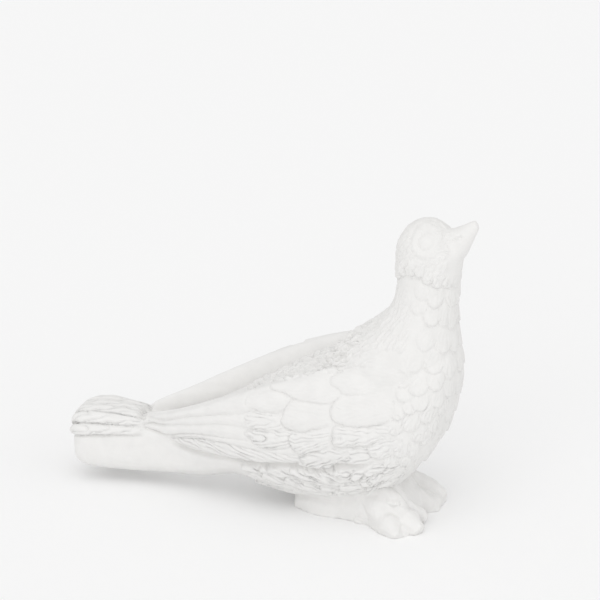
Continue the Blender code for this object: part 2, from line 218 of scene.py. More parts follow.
@dataclass
class Form:
    """A closed form made from a ball: each ring of the ball becomes one section."""

    stations: tuple[Row, ...] = ()
    fullness: float = 2.0
    segments: int = 48
    rings: int = 60

    def row(self, share: float) -> list[float]:
        """Return the station at a share of the form's length, read off a smooth curve.

        Args:
            share: Place along the form, from 0 to 1.

        Returns:
            One value for each column of the stations.
        """
        last = len(self.stations) - 1
        place = min(max(share, 0.0), 1.0) * last
        low = min(int(place), last - 1)
        step = place - low
        rows = [np.array(self.stations[min(max(low + k, 0), last)], dtype=float) for k in (-1, 0, 1, 2)]
        slope_in = 0.5 * (rows[2] - rows[0])
        slope_out = 0.5 * (rows[3] - rows[1])
        chord = rows[2] - rows[1]
        bend = 3.0 * chord - 2.0 * slope_in - slope_out
        twist = slope_in + slope_out - 2.0 * chord
        return (rows[1] + step * (slope_in + step * (bend + step * twist))).tolist()

    def section(self, share: float) -> Section:
        """Return the section at a share of the form's length."""
        raise NotImplementedError

    def upright(self, x: float, y: float, low: float, high: float, half: float) -> Section:
        """Return an upright section across X, between two heights."""
        centre = Vector((x, y, 0.5 * (low + high)))
        return Section(centre, Vector((0.0, half, 0.0)), 0.5 * (high - low) * UP, self.fullness)

    def ball(self) -> bpy.types.Mesh:
        """Shape a ball into the form.

        Returns:
            A closed mesh in metres.
        """
        shell = bmesh.new()
        bmesh.ops.create_uvsphere(shell, u_segments=self.segments, v_segments=self.rings, radius=1.0)
        for vert in shell.verts:
            ring = math.acos(min(max(vert.co.z, -1.0), 1.0)) / math.pi * self.rings
            cut = self.section((ring - 1.0) / (self.rings - 2.0))
            pole = ring < 0.5 or ring > self.rings - 0.5
            place = cut.centre if pole else cut.rim(math.atan2(vert.co.y, vert.co.x))
            vert.co = place * MM
        bmesh.ops.recalc_face_normals(shell, faces=shell.faces)
        mesh = bpy.data.meshes.new("form")
        shell.to_mesh(mesh)
        shell.free()
        return mesh


@dataclass
class Body(Form):
    """The trunk, from under the tail to the breast. Stations: X, underside, back, half width."""

    stations: tuple[Row, ...] = (
        (-122, 9, 32, 7), (-104, 6, 38.5, 11), (-88, 6.8, 45, 15), (-70, 11, 54, 19.5),
        (-52, 8.6, 64, 24.5), (-34, 5, 74, 28), (-14, 4.5, 85, 30.5), (4, 9, 92, 31.5),
        (20, 20.5, 96.5, 30.5), (32, 35, 97.5, 27), (39.5, 48, 97, 21.5), (44, 63, 95, 13),
        (46.2, 76, 88, 4),
    )
    fullness: float = 2.15

    def section(self, share: float) -> Section:
        """Upright section across X."""
        x, low, high, half = self.row(share)
        return self.upright(x, 0.0, low, high, half)


@dataclass
class Saddle(Form):
    """The back between the wings. Stations: X, top and half width."""

    stations: tuple[Row, ...] = (
        (-104, 39, 6), (-92, 43.5, 9), (-76, 51, 13), (-58, 60.5, 17), (-40, 71, 21.5), (-22, 80.5, 24),
        (-8, 86.5, 25.5), (4, 90, 25), (14, 91, 19),
    )
    fullness: float = 3.0
    depth: float = 26.0

    def section(self, share: float) -> Section:
        """Upright section across X.

        Args:
            share: Place along the form, from 0 to 1.

        Returns:
            The section, in mm.
        """
        x, high, half = self.row(share)
        upward = 0.5 * self.depth * UP
        return Section(Vector((x, 0.0, high)) - upward, Vector((0.0, half, 0.0)), upward, self.fullness)


@dataclass
class NeckAndHead(Form):
    """Neck and head. Stations: height, nape, throat, half width."""

    stations: tuple[Row, ...] = (
        (66, -22, 44, 26), (84, -17, 46, 27), (94, -8, 45.4, 25), (102, 2, 44.6, 22),
        (110, 10, 44, 19.4), (117, 13.6, 44.2, 17.6), (125, 14.2, 44.8, 16.6), (134, 13.6, 46.3, 16.2),
        (142, 13.6, 47.2, 15.6), (148, 15.4, 43.6, 14), (153.6, 19.4, 38.8, 10.2), (157.2, 25, 33, 4.5),
    )

    def section(self, share: float) -> Section:
        """Level section.

        Args:
            share: Place along the form, from 0 to 1.

        Returns:
            The section, in mm.
        """
        z, back, front, half = self.row(share)
        centre = Vector((0.5 * (back + front), 0.0, z))
        return Section(centre, Vector((0.0, half, 0.0)), Vector((0.5 * (front - back), 0.0, 0.0)))


@dataclass
class Beak(Form):
    """The beak. Stations: lower edge X and Z, upper edge X and Z, half width."""

    stations: tuple[Row, ...] = (
        (38, 131, 33, 153, 10), (48, 140, 40.5, 153.9, 7), (51.4, 147, 46.6, 156.6, 4.4),
        (53.9, 152.6, 50.8, 158.8, 2.7), (55.1, 156, 53.1, 159.8, 1.7),
    )

    def section(self, share: float) -> Section:
        """Section between the lower and upper edges.

        Args:
            share: Place along the form, from 0 to 1.

        Returns:
            The section, in mm.
        """
        low_x, low_z, high_x, high_z, half = self.row(share)
        centre = Vector((0.5 * (low_x + high_x), 0.0, 0.5 * (low_z + high_z)))
        upward = Vector((0.5 * (high_x - low_x), 0.0, 0.5 * (high_z - low_z)))
        return Section(centre, Vector((0.0, half, 0.0)), upward)


@dataclass
class Wing(Form):
    """A folded wing. Stations: X, lower edge Y and Z, ridge Y and Z, outward bow, half thickness."""

    stations: tuple[Row, ...] = (
        (-119, 7, 30, 7, 38, 0.4, 2.4), (-110, 9.5, 28.5, 10.5, 41.5, 1, 3),
        (-98, 13, 27.5, 15, 46, 1.8, 4), (-82, 17.5, 26.5, 20, 53.5, 2.8, 5),
        (-62, 22.5, 27, 24.5, 63, 3.6, 6), (-42, 26.5, 29, 26.5, 71.5, 4.4, 6.6),
        (-22, 29, 33, 26, 79, 5, 7), (-4, 30.5, 37, 24.5, 83.5, 5, 7),
        (12, 29.5, 43, 22.5, 83, 4.4, 6.4), (24, 26, 54, 20, 80, 3, 5), (31, 22, 64, 18, 75, 1, 2.5),
    )
    fullness: float = 2.3
    side: Side = Side.RIGHT

    def lift(self, share: float) -> float:
        """Return how much higher the left wing is carried than the right one.

        Args:
            share: Place along the form, from 0 to 1.

        Returns:
            A height in mm, 0 for the right wing.
        """
        if self.side is Side.RIGHT:
            return 0.0
        swell = math.sin(math.pi * min(max(share, 0.0), 1.0))
        return LEFT_LIFT * (LIFT_AT_ENDS + (1.0 - LIFT_AT_ENDS) * swell)

    def section(self, share: float) -> Section:
        """Leaning section that bows outwards.

        Args:
            share: Place along the form, from 0 to 1.

        Returns:
            The section, in mm.
        """
        x, low_y, low_z, high_y, high_z, bow, half = self.row(share)
        sign = self.side.value
        low = Vector((x, sign * low_y, low_z + self.lift(share)))
        high = Vector((x, sign * high_y, high_z + self.lift(share)))
        span = high - low
        outward = Vector((0.0, span.z, -span.y)).normalized() * sign
        centre = 0.5 * (low + high) + outward * (bow - half)
        return Section(centre, outward * half, 0.5 * span, self.fullness)


@dataclass
class Tail(Form):
    """The tail. Stations: X, underside, crest, half width."""

    stations: tuple[Row, ...] = (
        (-66, 14, 40, 15), (-82, 10, 39, 14), (-98, 8, 36.5, 12.4), (-114, 6.4, 36, 12),
        (-126, 5.8, 37.4, 13.5), (-140, 6, 38.2, 16.5), (-149, 7, 37.2, 18.3), (-154.4, 9, 35.4, 16),
        (-156.8, 13, 32.4, 10),
    )
    fullness: float = 3.2

    def section(self, share: float) -> Section:
        """Upright section across X."""
        x, low, high, half = self.row(share)
        return self.upright(x, 0.0, low, high, half)


@dataclass
class FootMass(Form):
    """The low mass that the feet grow from. Stations: X, height, half width."""

    stations: tuple[Row, ...] = (
        (-37.2, 6.5, 8), (-35, 8.5, 12), (-23, 11, 17.8), (-8, 13, 18.6), (2, 16.5, 20.8), (10, 19, 22),
        (18, 17, 19.6), (24, 10, 14), (27, 5, 8),
    )
    fullness: float = 3.0
    depth: float = 8.0

    def section(self, share: float) -> Section:
        """Upright section that runs on below the ground."""
        x, high, half = self.row(share)
        return self.upright(x, 0.0, -self.depth, high, half)


@dataclass
class Web(Form):
    """The thick wedge that joins the toes of one foot. Stations: X, Y, top and half width."""

    fullness: float = 2.4
    depth: float = 8.0
    side: Side = Side.RIGHT

    def section(self, share: float) -> Section:
        """Upright section that runs on below the ground."""
        x, y, high, half = self.row(share)
        return self.upright(x, self.side.value * y, -self.depth, high, half)


@dataclass
class Toe(Form):
    """One toe, from the leg to the claw. Stations: X, Y, Z and radius."""

    segments: int = 24
    rings: int = 40
    side: Side = Side.RIGHT

    def section(self, share: float) -> Section:
        """Round section across the toe.

        Args:
            share: Place along the form, from 0 to 1.

        Returns:
            The section, in mm.
        """
        x, y, z, radius = self.row(share)
        reach = 0.05
        ahead = Vector(self.row(min(share + reach, 1.0))[:3]) - Vector(self.row(share - reach)[:3])
        heading = Vector((ahead.x, self.side.value * ahead.y, ahead.z)).normalized()
        across = heading.cross(UP).normalized()
        return Section(Vector((x, self.side.value * y, z)), across * radius, across.cross(heading) * radius)


@dataclass
class RightFoot:
    """The right foot: slim toes over a thin wedge."""

    side: Side = Side.RIGHT
    web: tuple[Row, ...] = (
        (5, 11.6, 15, 8), (11, 16.5, 13, 10.5), (16.5, 19, 10.5, 12), (21, 20.5, 7.8, 12.2),
        (25, 20.5, 5.6, 11.5), (28.5, 20, 3.4, 9),
    )
    outer_toe: tuple[Row, ...] = (
        (2, 11.5, 14, 7), (8, 16, 11, 6.8), (12.6, 20.8, 8.8, 6.9), (16.4, 25, 5.6, 5.1),
        (19.8, 28.2, 4.8, 5.3), (22.6, 31, 2.4, 3.4), (24.8, 32.9, 1, 2.2),
    )
    middle_toe: tuple[Row, ...] = (
        (4, 10, 19, 8), (12.5, 14.5, 14, 7.4), (18.5, 17.4, 10.8, 7), (23, 19.6, 7, 5.6),
        (27, 21.2, 5.6, 5.8), (31, 22.6, 3, 4.8), (34, 23.6, 1.4, 3.6),
    )
    inner_toe: tuple[Row, ...] = (
        (8, 8, 19.4, 6), (16, 11.4, 15.4, 4.8), (22, 12.4, 10.6, 4.4), (26, 11.8, 7.2, 3.8),
        (29.6, 10.2, 4.4, 3.7), (32.4, 9, 1.8, 2.6),
    )

    def forms(self) -> Iterator[Form]:
        """Yield the wedge and the toes."""
        yield Web(stations=self.web, side=self.side)
        for toe in (self.outer_toe, self.middle_toe, self.inner_toe):
            yield Toe(stations=toe, side=self.side)


@dataclass
class LeftFoot(RightFoot):
    """The left foot: a lower, broader block whose toes hardly part."""

    side: Side = Side.LEFT
    web: tuple[Row, ...] = (
        (6, 12, 17, 12), (14, 14, 13.6, 13.4), (20, 15, 11, 14), (26, 15, 9, 13.4), (31, 14.4, 6.6, 11),
        (34, 14, 3.6, 8),
    )
    outer_toe: tuple[Row, ...] = (
        (4, 13, 12, 7), (10, 18, 9.4, 6), (14.5, 22.5, 6.8, 5.4), (18, 26, 4.6, 4.8),
        (21, 28.6, 2.4, 3.4), (23, 30.4, 0.8, 2.2),
    )
    middle_toe: tuple[Row, ...] = (
        (8, 13, 13, 7), (15, 17, 10.6, 6.4), (20, 19.6, 8, 5.6), (25, 20.6, 5.8, 5.6),
        (29.5, 20.4, 3.6, 4.8), (33, 20, 1.8, 3.6),
    )
    inner_toe: tuple[Row, ...] = (
        (14, 8, 10, 6), (20, 7.6, 7.2, 5.4), (26, 7.4, 4.4, 4.8), (31, 7.8, 2.4, 3.8),
    )


@dataclass
class Casting:
    """The figure's forms fused into one closed skin."""

    name: str = "dove_carved"
    grain: float = 0.5
    soften: int = 24
    triangles: int = 196000

    def forms(self) -> Iterator[Form]:
        """Yield every form of the figure."""
        yield from (Body(), Saddle(), NeckAndHead(), Beak(), Tail(), FootMass())
        for side in Side:
            yield Wing(side=side)
        yield from RightFoot().forms()
        yield from LeftFoot().forms()

    def fuse(self) -> bpy.types.Object:
        """Join the forms and wrap one smooth skin round them.

        Returns:
            The object of the skin, linked to the scene.
        """
        gathered = bmesh.new()
        for form in self.forms():
            mesh = form.ball()
            gathered.from_mesh(mesh)
            bpy.data.meshes.remove(mesh)
        whole = bpy.data.meshes.new(self.name)
        gathered.to_mesh(whole)
        gathered.free()
        dove = bpy.data.objects.new(self.name, whole)
        bpy.context.scene.collection.objects.link(dove)
        remesh = dove.modifiers.new("Fuse", "REMESH")
        remesh.mode = "VOXEL"
        remesh.voxel_size = self.grain * MM
        soften = dove.modifiers.new("Soften", "SMOOTH")
        soften.factor = 0.5
        soften.iterations = self.soften
        self.settle(dove)
        return dove

    @staticmethod
    def settle(dove: bpy.types.Object) -> None:
        """Turn an object's modifiers into its mesh.

        Args:
            dove: The object.
        """
        old = dove.data
        graph = bpy.context.evaluated_depsgraph_get()
        graph.update()
        new = bpy.data.meshes.new_from_object(dove.evaluated_get(graph))
        dove.modifiers.clear()
        dove.data = new
        bpy.data.meshes.remove(old)
        new.name = dove.name

    def thin_out(self, dove: bpy.types.Object) -> None:
        """Thin the carved skin out where it is plain. Its faces are four-sided until then.

        Args:
            dove: The carved object.
        """
        thin = dove.modifiers.new("Thin out", "DECIMATE")
        thin.ratio = min(1.0, self.triangles / (2.0 * len(dove.data.polygons)))
        self.settle(dove)

    @staticmethod
    def level(dove: bpy.types.Object, low: Vector, high: Vector) -> None:
        """Cut the skin off flat at the ground and keep it within a box.

        Args:
            dove: The carved object.
            low: Lowest corner of the box in metres.
            high: Highest corner of the box in metres.
        """
        shell = bmesh.new()
        shell.from_mesh(dove.data)
        everything = shell.verts[:] + shell.edges[:] + shell.faces[:]
        ground = {"plane_co": (0.0, 0.0, 0.0), "plane_no": (0.0, 0.0, -1.0)}
        bmesh.ops.bisect_plane(shell, geom=everything, dist=1e-6, clear_outer=True, **ground)
        rim = [edge for edge in shell.edges if edge.is_boundary]
        bmesh.ops.contextual_create(shell, geom=rim)
        bmesh.ops.triangulate(shell, faces=shell.faces[:])
        for vert in shell.verts:
            for axis in range(3):
                vert.co[axis] = min(max(vert.co[axis], low[axis]), high[axis])
        bmesh.ops.recalc_face_normals(shell, faces=shell.faces)
        shell.to_mesh(dove.data)
        shell.free()


@dataclass
class Patch:
    """Part of the skin laid out flat: which points it holds, and their places in mm."""

    picks: np.ndarray
    u: np.ndarray
    v: np.ndarray
    facing: np.ndarray


@dataclass
class Relief:
    """The bare skin and what is raised from it or cut into it, in mm.

    A patch fades out where the skin turns away from it: fade_side, fade_top and
    fade_around say how far it has to face the patch to hold the full relief.
    """

    mesh: bpy.types.Mesh
    fade_side: float = 0.45
    fade_top: float = 0.3
    fade_around: float = 0.4
    tail_from: float = -116.0
    tail_fade: float = 5.0
    foot_height: float = 19.0
    foot_hind: float = -38.0

    def __post_init__(self) -> None:
        """Read the skin's points and normals and prepare to find places on it."""
        mesh = self.mesh
        count = len(mesh.vertices)
        points = np.empty(count * 3)
        mesh.vertices.foreach_get("co", points)
        self.points = points.reshape(count, 3) / MM
        normals = np.empty(count * 3)
        mesh.vertex_normals.foreach_get("vector", normals)
        self.normals = normals.reshape(count, 3)
        faces = [polygon.vertices[:] for polygon in mesh.polygons]
        self.tree = BVHTree.FromPolygons([Vector(point) for point in self.points], faces)
        self.places = KDTree(count)
        for index, point in enumerate(self.points):
            self.places.insert(point, index)
        self.places.balance()
        self.raised = np.zeros(count)
        self.sunk = np.zeros(count)
        self.phase = np.zeros(count)
        self.combed = np.zeros(count)

    def side(self, side: Side, lift: float = 0.0) -> Patch:
        """Lay out one side of the bird: u is X and v is Z, less a lift that swells over the wing.

        Args:
            side: Which side of the bird.
            lift: How much higher its wing is carried in mm.

        Returns:
            The patch of that side.
        """
        sign = side.value
        facing = self.normals[:, 1] * sign
        picks = np.nonzero((self.points[:, 1] * sign > 1.0) & (facing > 0.0))[0]
        u = self.points[picks, 0]
        swell = np.sin(math.pi * np.clip((u - WING_TIP) / WING_LENGTH, 0.0, 1.0))
        v = self.points[picks, 2] - lift * (LIFT_AT_ENDS + (1.0 - LIFT_AT_ENDS) * swell)
        return Patch(picks, u, v, soft_step(facing[picks] / self.fade_side))

    def top(self) -> Patch:
        """Lay out the skin seen from above: u is X and v is Y.

        Returns:
            The patch of all that faces up.
        """
        picks = np.nonzero(self.normals[:, 2] > 0.0)[0]
        facing = soft_step(self.normals[picks, 2] / self.fade_top)
        return Patch(picks, self.points[picks, 0], self.points[picks, 1], facing)

    def tail(self, core: float) -> Patch:
        """Lay out the tail: u is X and v is the angle round a line at height core, in degrees.

        Args:
            core: Height of the line in mm.

        Returns:
            The patch of the tail, which fades in behind the wings.
        """
        picks = np.nonzero(self.points[:, 0] < self.tail_from)[0]
        u = self.points[picks, 0]
        v = np.degrees(np.arctan2(self.points[picks, 1], self.points[picks, 2] - core))
        return Patch(picks, u, v, soft_step((self.tail_from - u) / self.tail_fade))

    def spot(self, start: Vector, direction: Vector) -> tuple[Vector | None, Vector | None]:
        """Return the place and normal where a ray meets the skin."""
        place, normal, _, _ = self.tree.ray_cast(start, direction.normalized())
        return place, normal

    def around(self, start: Vector, direction: Vector, heading: Vector, reach: float) -> Patch | None:
        """Lay out the skin round the place where a ray meets it.

        Args:
            start: Where the ray starts.
            direction: Where the ray goes.
            heading: Direction that becomes +u once it is laid along the skin.
            reach: Radius of the patch.

        Returns:
            A patch with its origin at the place, or None where the ray misses.
        """
        place, normal = self.spot(start, direction)
        if place is None:
            return None
        along = (heading - normal * heading.dot(normal)).normalized()
        across = normal.cross(along)
        picks = np.array([hit[1] for hit in self.places.find_range(place, reach)], dtype=int)
        facing = self.normals[picks] @ np.array(normal)
        turned_away = facing <= 0.1
        picks = picks[~turned_away]
        shares = soft_step(facing[~turned_away] / self.fade_around)
        offset = self.points[picks] - np.array(place)
        return Patch(picks, offset @ np.array(along), offset @ np.array(across), shares)

    def cover(self, picks: np.ndarray, share: np.ndarray, height: np.ndarray) -> None:
        """Lay a new surface over what is there, fully where share is 1."""
        self.raised[picks] = self.raised[picks] * (1.0 - share) + height * share
        self.sunk[picks] *= 1.0 - share

    def lay(
        self, picks: np.ndarray, share: np.ndarray, height: np.ndarray, phase: np.ndarray, depth: np.ndarray
    ) -> None:
        """Lay a feather over what is there and cut its barbs.

        The same cuts are noted for the finish, which draws them finer than the skin can, as bumps with
        painted shade in them.

        Args:
            picks: Points under the feather.
            share: How fully the feather covers each point.
            height: Height of the feather at each point.
            phase: Count of barbs at each point.
            depth: Depth of the cuts.
        """
        self.cover(picks, share, height - depth * barb_groove(phase))
        rim_fade = 1.0 - 3.6 * share * (1.0 - share)
        self.combed[picks] = (self.combed[picks] * (1.0 - share) + depth * share) * rim_fade
        over = share > 0.5
        self.phase[picks[over]] = phase[over]

    def sink(self, picks: np.ndarray, depth: np.ndarray) -> None:
        """Cut into the skin, where it isn't cut deeper already."""
        self.sunk[picks] = np.maximum(self.sunk[picks], depth)

    def roughen(self) -> None:
        """Give the whole skin the slight unevenness of a casting, stronger on the feet."""
        x, y, z = self.points.T
        broad = waver(x + 0.7 * y, z + 0.7 * y, 9.0, 41)
        narrow = waver(x - 0.7 * y, z - 0.4 * y, 6.0, 42)
        feet = soft_step((self.foot_height - z) / 6.0) * (x > self.foot_hind)
        self.raised += (broad + narrow) * (0.07 + 0.16 * feet)

    def carve(self, dove: bpy.types.Object) -> None:
        """Move the skin's points by the relief.

        Args:
            dove: The object of the skin.
        """
        moved = self.points + self.normals * (self.raised - self.sunk)[:, None]
        dove.data.vertices.foreach_set("co", (moved * MM).ravel())
        for name, values in (("barb_phase", self.phase), ("barb_depth", self.combed)):
            dove.data.attributes.new(name, "FLOAT", "POINT").data.foreach_set("value", values)
        dove.data.update()


@dataclass(frozen=True)
class Feather:
    """One feather on a patch: flush at its root and proud at its round tip, in mm.

    Shares of the length say where its tip starts to round, and where it has come out from
    under its neighbours and its barbs are fully cut.
    """

    root: Point
    tip: Point
    width: float
    rise: float
    low: float = 0.12
    crown: float = 0.3
    root_width: float = 0.6
    round_from: float = 0.55
    out_by: float = 0.25
    cut_by: float = 0.4
    edge: float = 0.8
    shaft: float = 0.0
    shaft_width: float = 0.55
    barbs: Barbs = Barbs.NONE
    undercut: float = 0.0
    undercut_width: float = 0.8
    seed: int = 1

    def lay(self, relief: Relief, patch: Patch) -> None:
        """Lay the feather over whatever is already carved on the patch.

        Args:
            relief: The skin's relief.
            patch: Where it is laid.
        """
        length = math.dist(self.root, self.tip)
        reach = 0.5 * length + self.width
        near = np.abs(patch.u - 0.5 * (self.root[0] + self.tip[0])) < reach
        near &= np.abs(patch.v - 0.5 * (self.root[1] + self.tip[1])) < reach
        picks = patch.picks[near]
        facing = patch.facing[near]
        along, aside = along_shaft(patch.u[near], patch.v[near], self.root, self.tip)
        share = along / length
        half = 0.5 * self.width * (self.root_width + (1.0 - self.root_width) * soft_step(2.0 * share))
        inside = self.distance_inside(share, aside, half, length)
        cover = soft_step(inside / self.edge) * soft_step(share / self.out_by) * facing
        phase = self.barbs.phase(along, aside, self.seed)
        depth = self.barbs.depths(along, aside, self.seed) * soft_step(share / self.cut_by)
        relief.lay(picks, cover, self.heights(share, aside, half), phase, depth)
        under = soft_step(3.0 * share - 1.2) * (share < 1.2) * (inside < 0.0)
        shadow = self.undercut * np.exp(-((inside / self.undercut_width) ** 2))
        relief.sink(picks, shadow * under * facing)

    def distance_inside(
        self, share: np.ndarray, aside: np.ndarray, half: np.ndarray, length: float
    ) -> np.ndarray:
        """Return how far inside the feather's rim each place lies, less than 0 outside it.

        Args:
            share: Place along the feather, 0 at its root and 1 at its tip.
            aside: Distance aside of the shaft.
            half: Half width of the feather there.
            length: Length of the feather.

        Returns:
            One distance in mm for each place.
        """
        tip_length = length * (1.0 - self.round_from)
        tip_run = np.maximum((share - self.round_from) / (1.0 - self.round_from), 0.0)
        ring = np.maximum(np.hypot(tip_run, aside / half), 1e-6)
        slope = np.hypot(tip_run / (ring * tip_length), aside / (ring * half * half))
        return (1.0 - ring) / np.maximum(slope, 1e-6)

    def heights(self, share: np.ndarray, aside: np.ndarray, half: np.ndarray) -> np.ndarray:
        """Return the height of the feather's back, arched across and raised along its shaft.

        Args:
            share: Place along the feather, 0 at its root and 1 at its tip.
            aside: Distance aside of the shaft.
            half: Half width of the feather there.

        Returns:
            One height in mm for each place.
        """
        held = np.clip(share, 0.0, 1.0)
        out = np.clip(aside / half, -1.0, 1.0)
        height = self.rise * (self.low + (1.0 - self.low) * held) * (1.0 - self.crown * out * out)
        shaft = self.shaft * np.exp(-((aside / self.shaft_width) ** 2))
        return height + shaft * soft_step(2.5 * (1.0 - held))


@dataclass(frozen=True)
class Lobe:
    """A feather with a drawn outline: flush on one side and proud on the other, in mm.

    The flow points to the proud side. The barbs run from root to tip.
    """

    outline: tuple[Point, ...]
    flow: Point
    rise: float
    root: Point
    tip: Point
    barbs: Barbs
    seed: int
    low: float = 0.1
    edge: float = 1.0
    arch: float = 0.45
    arch_width: float = 4.0
    undercut: float = 0.6
    undercut_width: float = 0.9
    margin: float = 3.0

    def rim(self) -> np.ndarray:
        """Return the outline as a smooth closed line of many points.

        Returns:
            A row of two coordinates for each point.
        """
        corners = np.array(self.outline, dtype=float)
        before, after = np.roll(corners, 1, 0), np.roll(corners, -1, 0)
        beyond = np.roll(corners, -2, 0)
        steps = []
        for step in np.linspace(0.0, 1.0, 6, endpoint=False):
            bend = 2.0 * before - 5.0 * corners + 4.0 * after - beyond
            twist = 3.0 * corners - before - 3.0 * after + beyond
            steps.append(corners + 0.5 * step * (after - before + step * (bend + step * twist)))
        return np.stack(steps, axis=1).reshape(-1, 2)

    def lay(self, relief: Relief, patch: Patch) -> None:
        """Lay the feather over whatever is already carved on the patch.

        Args:
            relief: The skin's relief.
            patch: Where it is laid.
        """
        rim = self.rim()
        low, high = rim.min(0) - self.margin, rim.max(0) + self.margin
        near = (patch.u > low[0]) & (patch.u < high[0]) & (patch.v > low[1]) & (patch.v < high[1])
        u, v = patch.u[near], patch.v[near]
        picks = patch.picks[near]
        facing = patch.facing[near]
        inside, away = self.distances(rim, u, v)
        ahead = np.array(self.flow) / math.hypot(*self.flow)
        reach = rim @ ahead
        run = (u * ahead[0] + v * ahead[1] - reach.min()) / (reach.max() - reach.min())
        ramp = np.clip(run, 0.0, 1.0)
        arched = 1.0 - self.arch + self.arch * soft_step(away / self.arch_width)
        height = self.rise * (self.low + (1.0 - self.low) * ramp) * arched
        along, aside = along_shaft(u, v, self.root, self.tip)
        phase = self.barbs.phase(along, aside, self.seed)
        depth = self.barbs.depths(along, aside, self.seed) * (0.5 + 0.5 * ramp)
        relief.lay(picks, inside * soft_step(away / self.edge) * facing, height, phase, depth)
        under = soft_step(2.0 * ramp - 0.5) * ~inside
        shadow = self.undercut * np.exp(-((away / self.undercut_width) ** 2))
        relief.sink(picks, shadow * under * facing)

    @staticmethod
    def distances(rim: np.ndarray, u: np.ndarray, v: np.ndarray) -> tuple[np.ndarray, np.ndarray]:
        """Return which places lie inside the rim, and how far each place is from it.

        Args:
            rim: The outline's points.
            u: First coordinate of each place in mm.
            v: Second coordinate of each place in mm.

        Returns:
            Whether each place is inside, and its distance from the rim in mm.
        """
        away = np.full(len(u), np.inf)
        inside = np.zeros(len(u), dtype=bool)
        for (u0, v0), (u1, v1) in zip(rim, np.roll(rim, -1, 0)):
            du, dv = u1 - u0, v1 - v0
            step = np.clip(((u - u0) * du + (v - v0) * dv) / (du * du + dv * dv), 0.0, 1.0)
            away = np.minimum(away, np.hypot(u - u0 - step * du, v - v0 - step * dv))
            if v0 != v1:
                inside ^= ((v0 > v) != (v1 > v)) & (u < (v - v0) * du / dv + u0)
        return inside, away


@dataclass(frozen=True)
class Stroke:
    """A short lens-shaped ridge, as a chisel leaves between two cuts, in mm."""

    length: float
    width: float
    rise: float

    def lay(self, ridges: np.ndarray, patch: Patch) -> None:
        """Raise the ridge at the origin of a patch, in an array with a value for each point.

        Args:
            ridges: Height of the ridges at each point of the skin.
            patch: Where it is laid.
        """
        run = patch.u / (0.5 * self.length)
        half = 0.5 * self.width * np.clip(1.0 - run * run, 0.0, 1.0) ** 0.6 + 1e-6
        body = np.clip(1.0 - (patch.v / half) ** 2, 0.0, 1.0) ** 0.8
        height = self.rise * body * np.clip(1.0 - run**4, 0.0, 1.0) * patch.facing
        ridges[patch.picks] = np.maximum(ridges[patch.picks], height)


@dataclass(frozen=True)
class Groove:
    """A cut along a line on a patch, in mm. A negative depth raises a ridge instead."""

    path: tuple[Point, ...]
    width: float
    depth: float

    def cut(self, relief: Relief, patch: Patch) -> None:
        """Cut the groove, shallow at both ends.

        Args:
            relief: The skin's relief.
            patch: Where it is cut.
        """
        away = np.full(len(patch.u), np.inf)
        run = np.zeros(len(patch.u))
        done = 0.0
        for start, end in zip(self.path, self.path[1:]):
            length = math.dist(start, end)
            along, aside = along_shaft(patch.u, patch.v, start, end)
            held = np.clip(along, 0.0, length)
            gap = np.hypot(along - held, aside)
            closer = gap < away
            run[closer] = done + held[closer]
            away = np.minimum(away, gap)
            done += length
        ends = soft_step(np.minimum(run, done - run) / (0.18 * done) + 0.15)
        depth = self.depth * np.exp(-((away / self.width) ** 2)) * ends * patch.facing
        if self.depth > 0.0:
            relief.sink(patch.picks, depth)
        else:
            relief.sunk[patch.picks] += depth


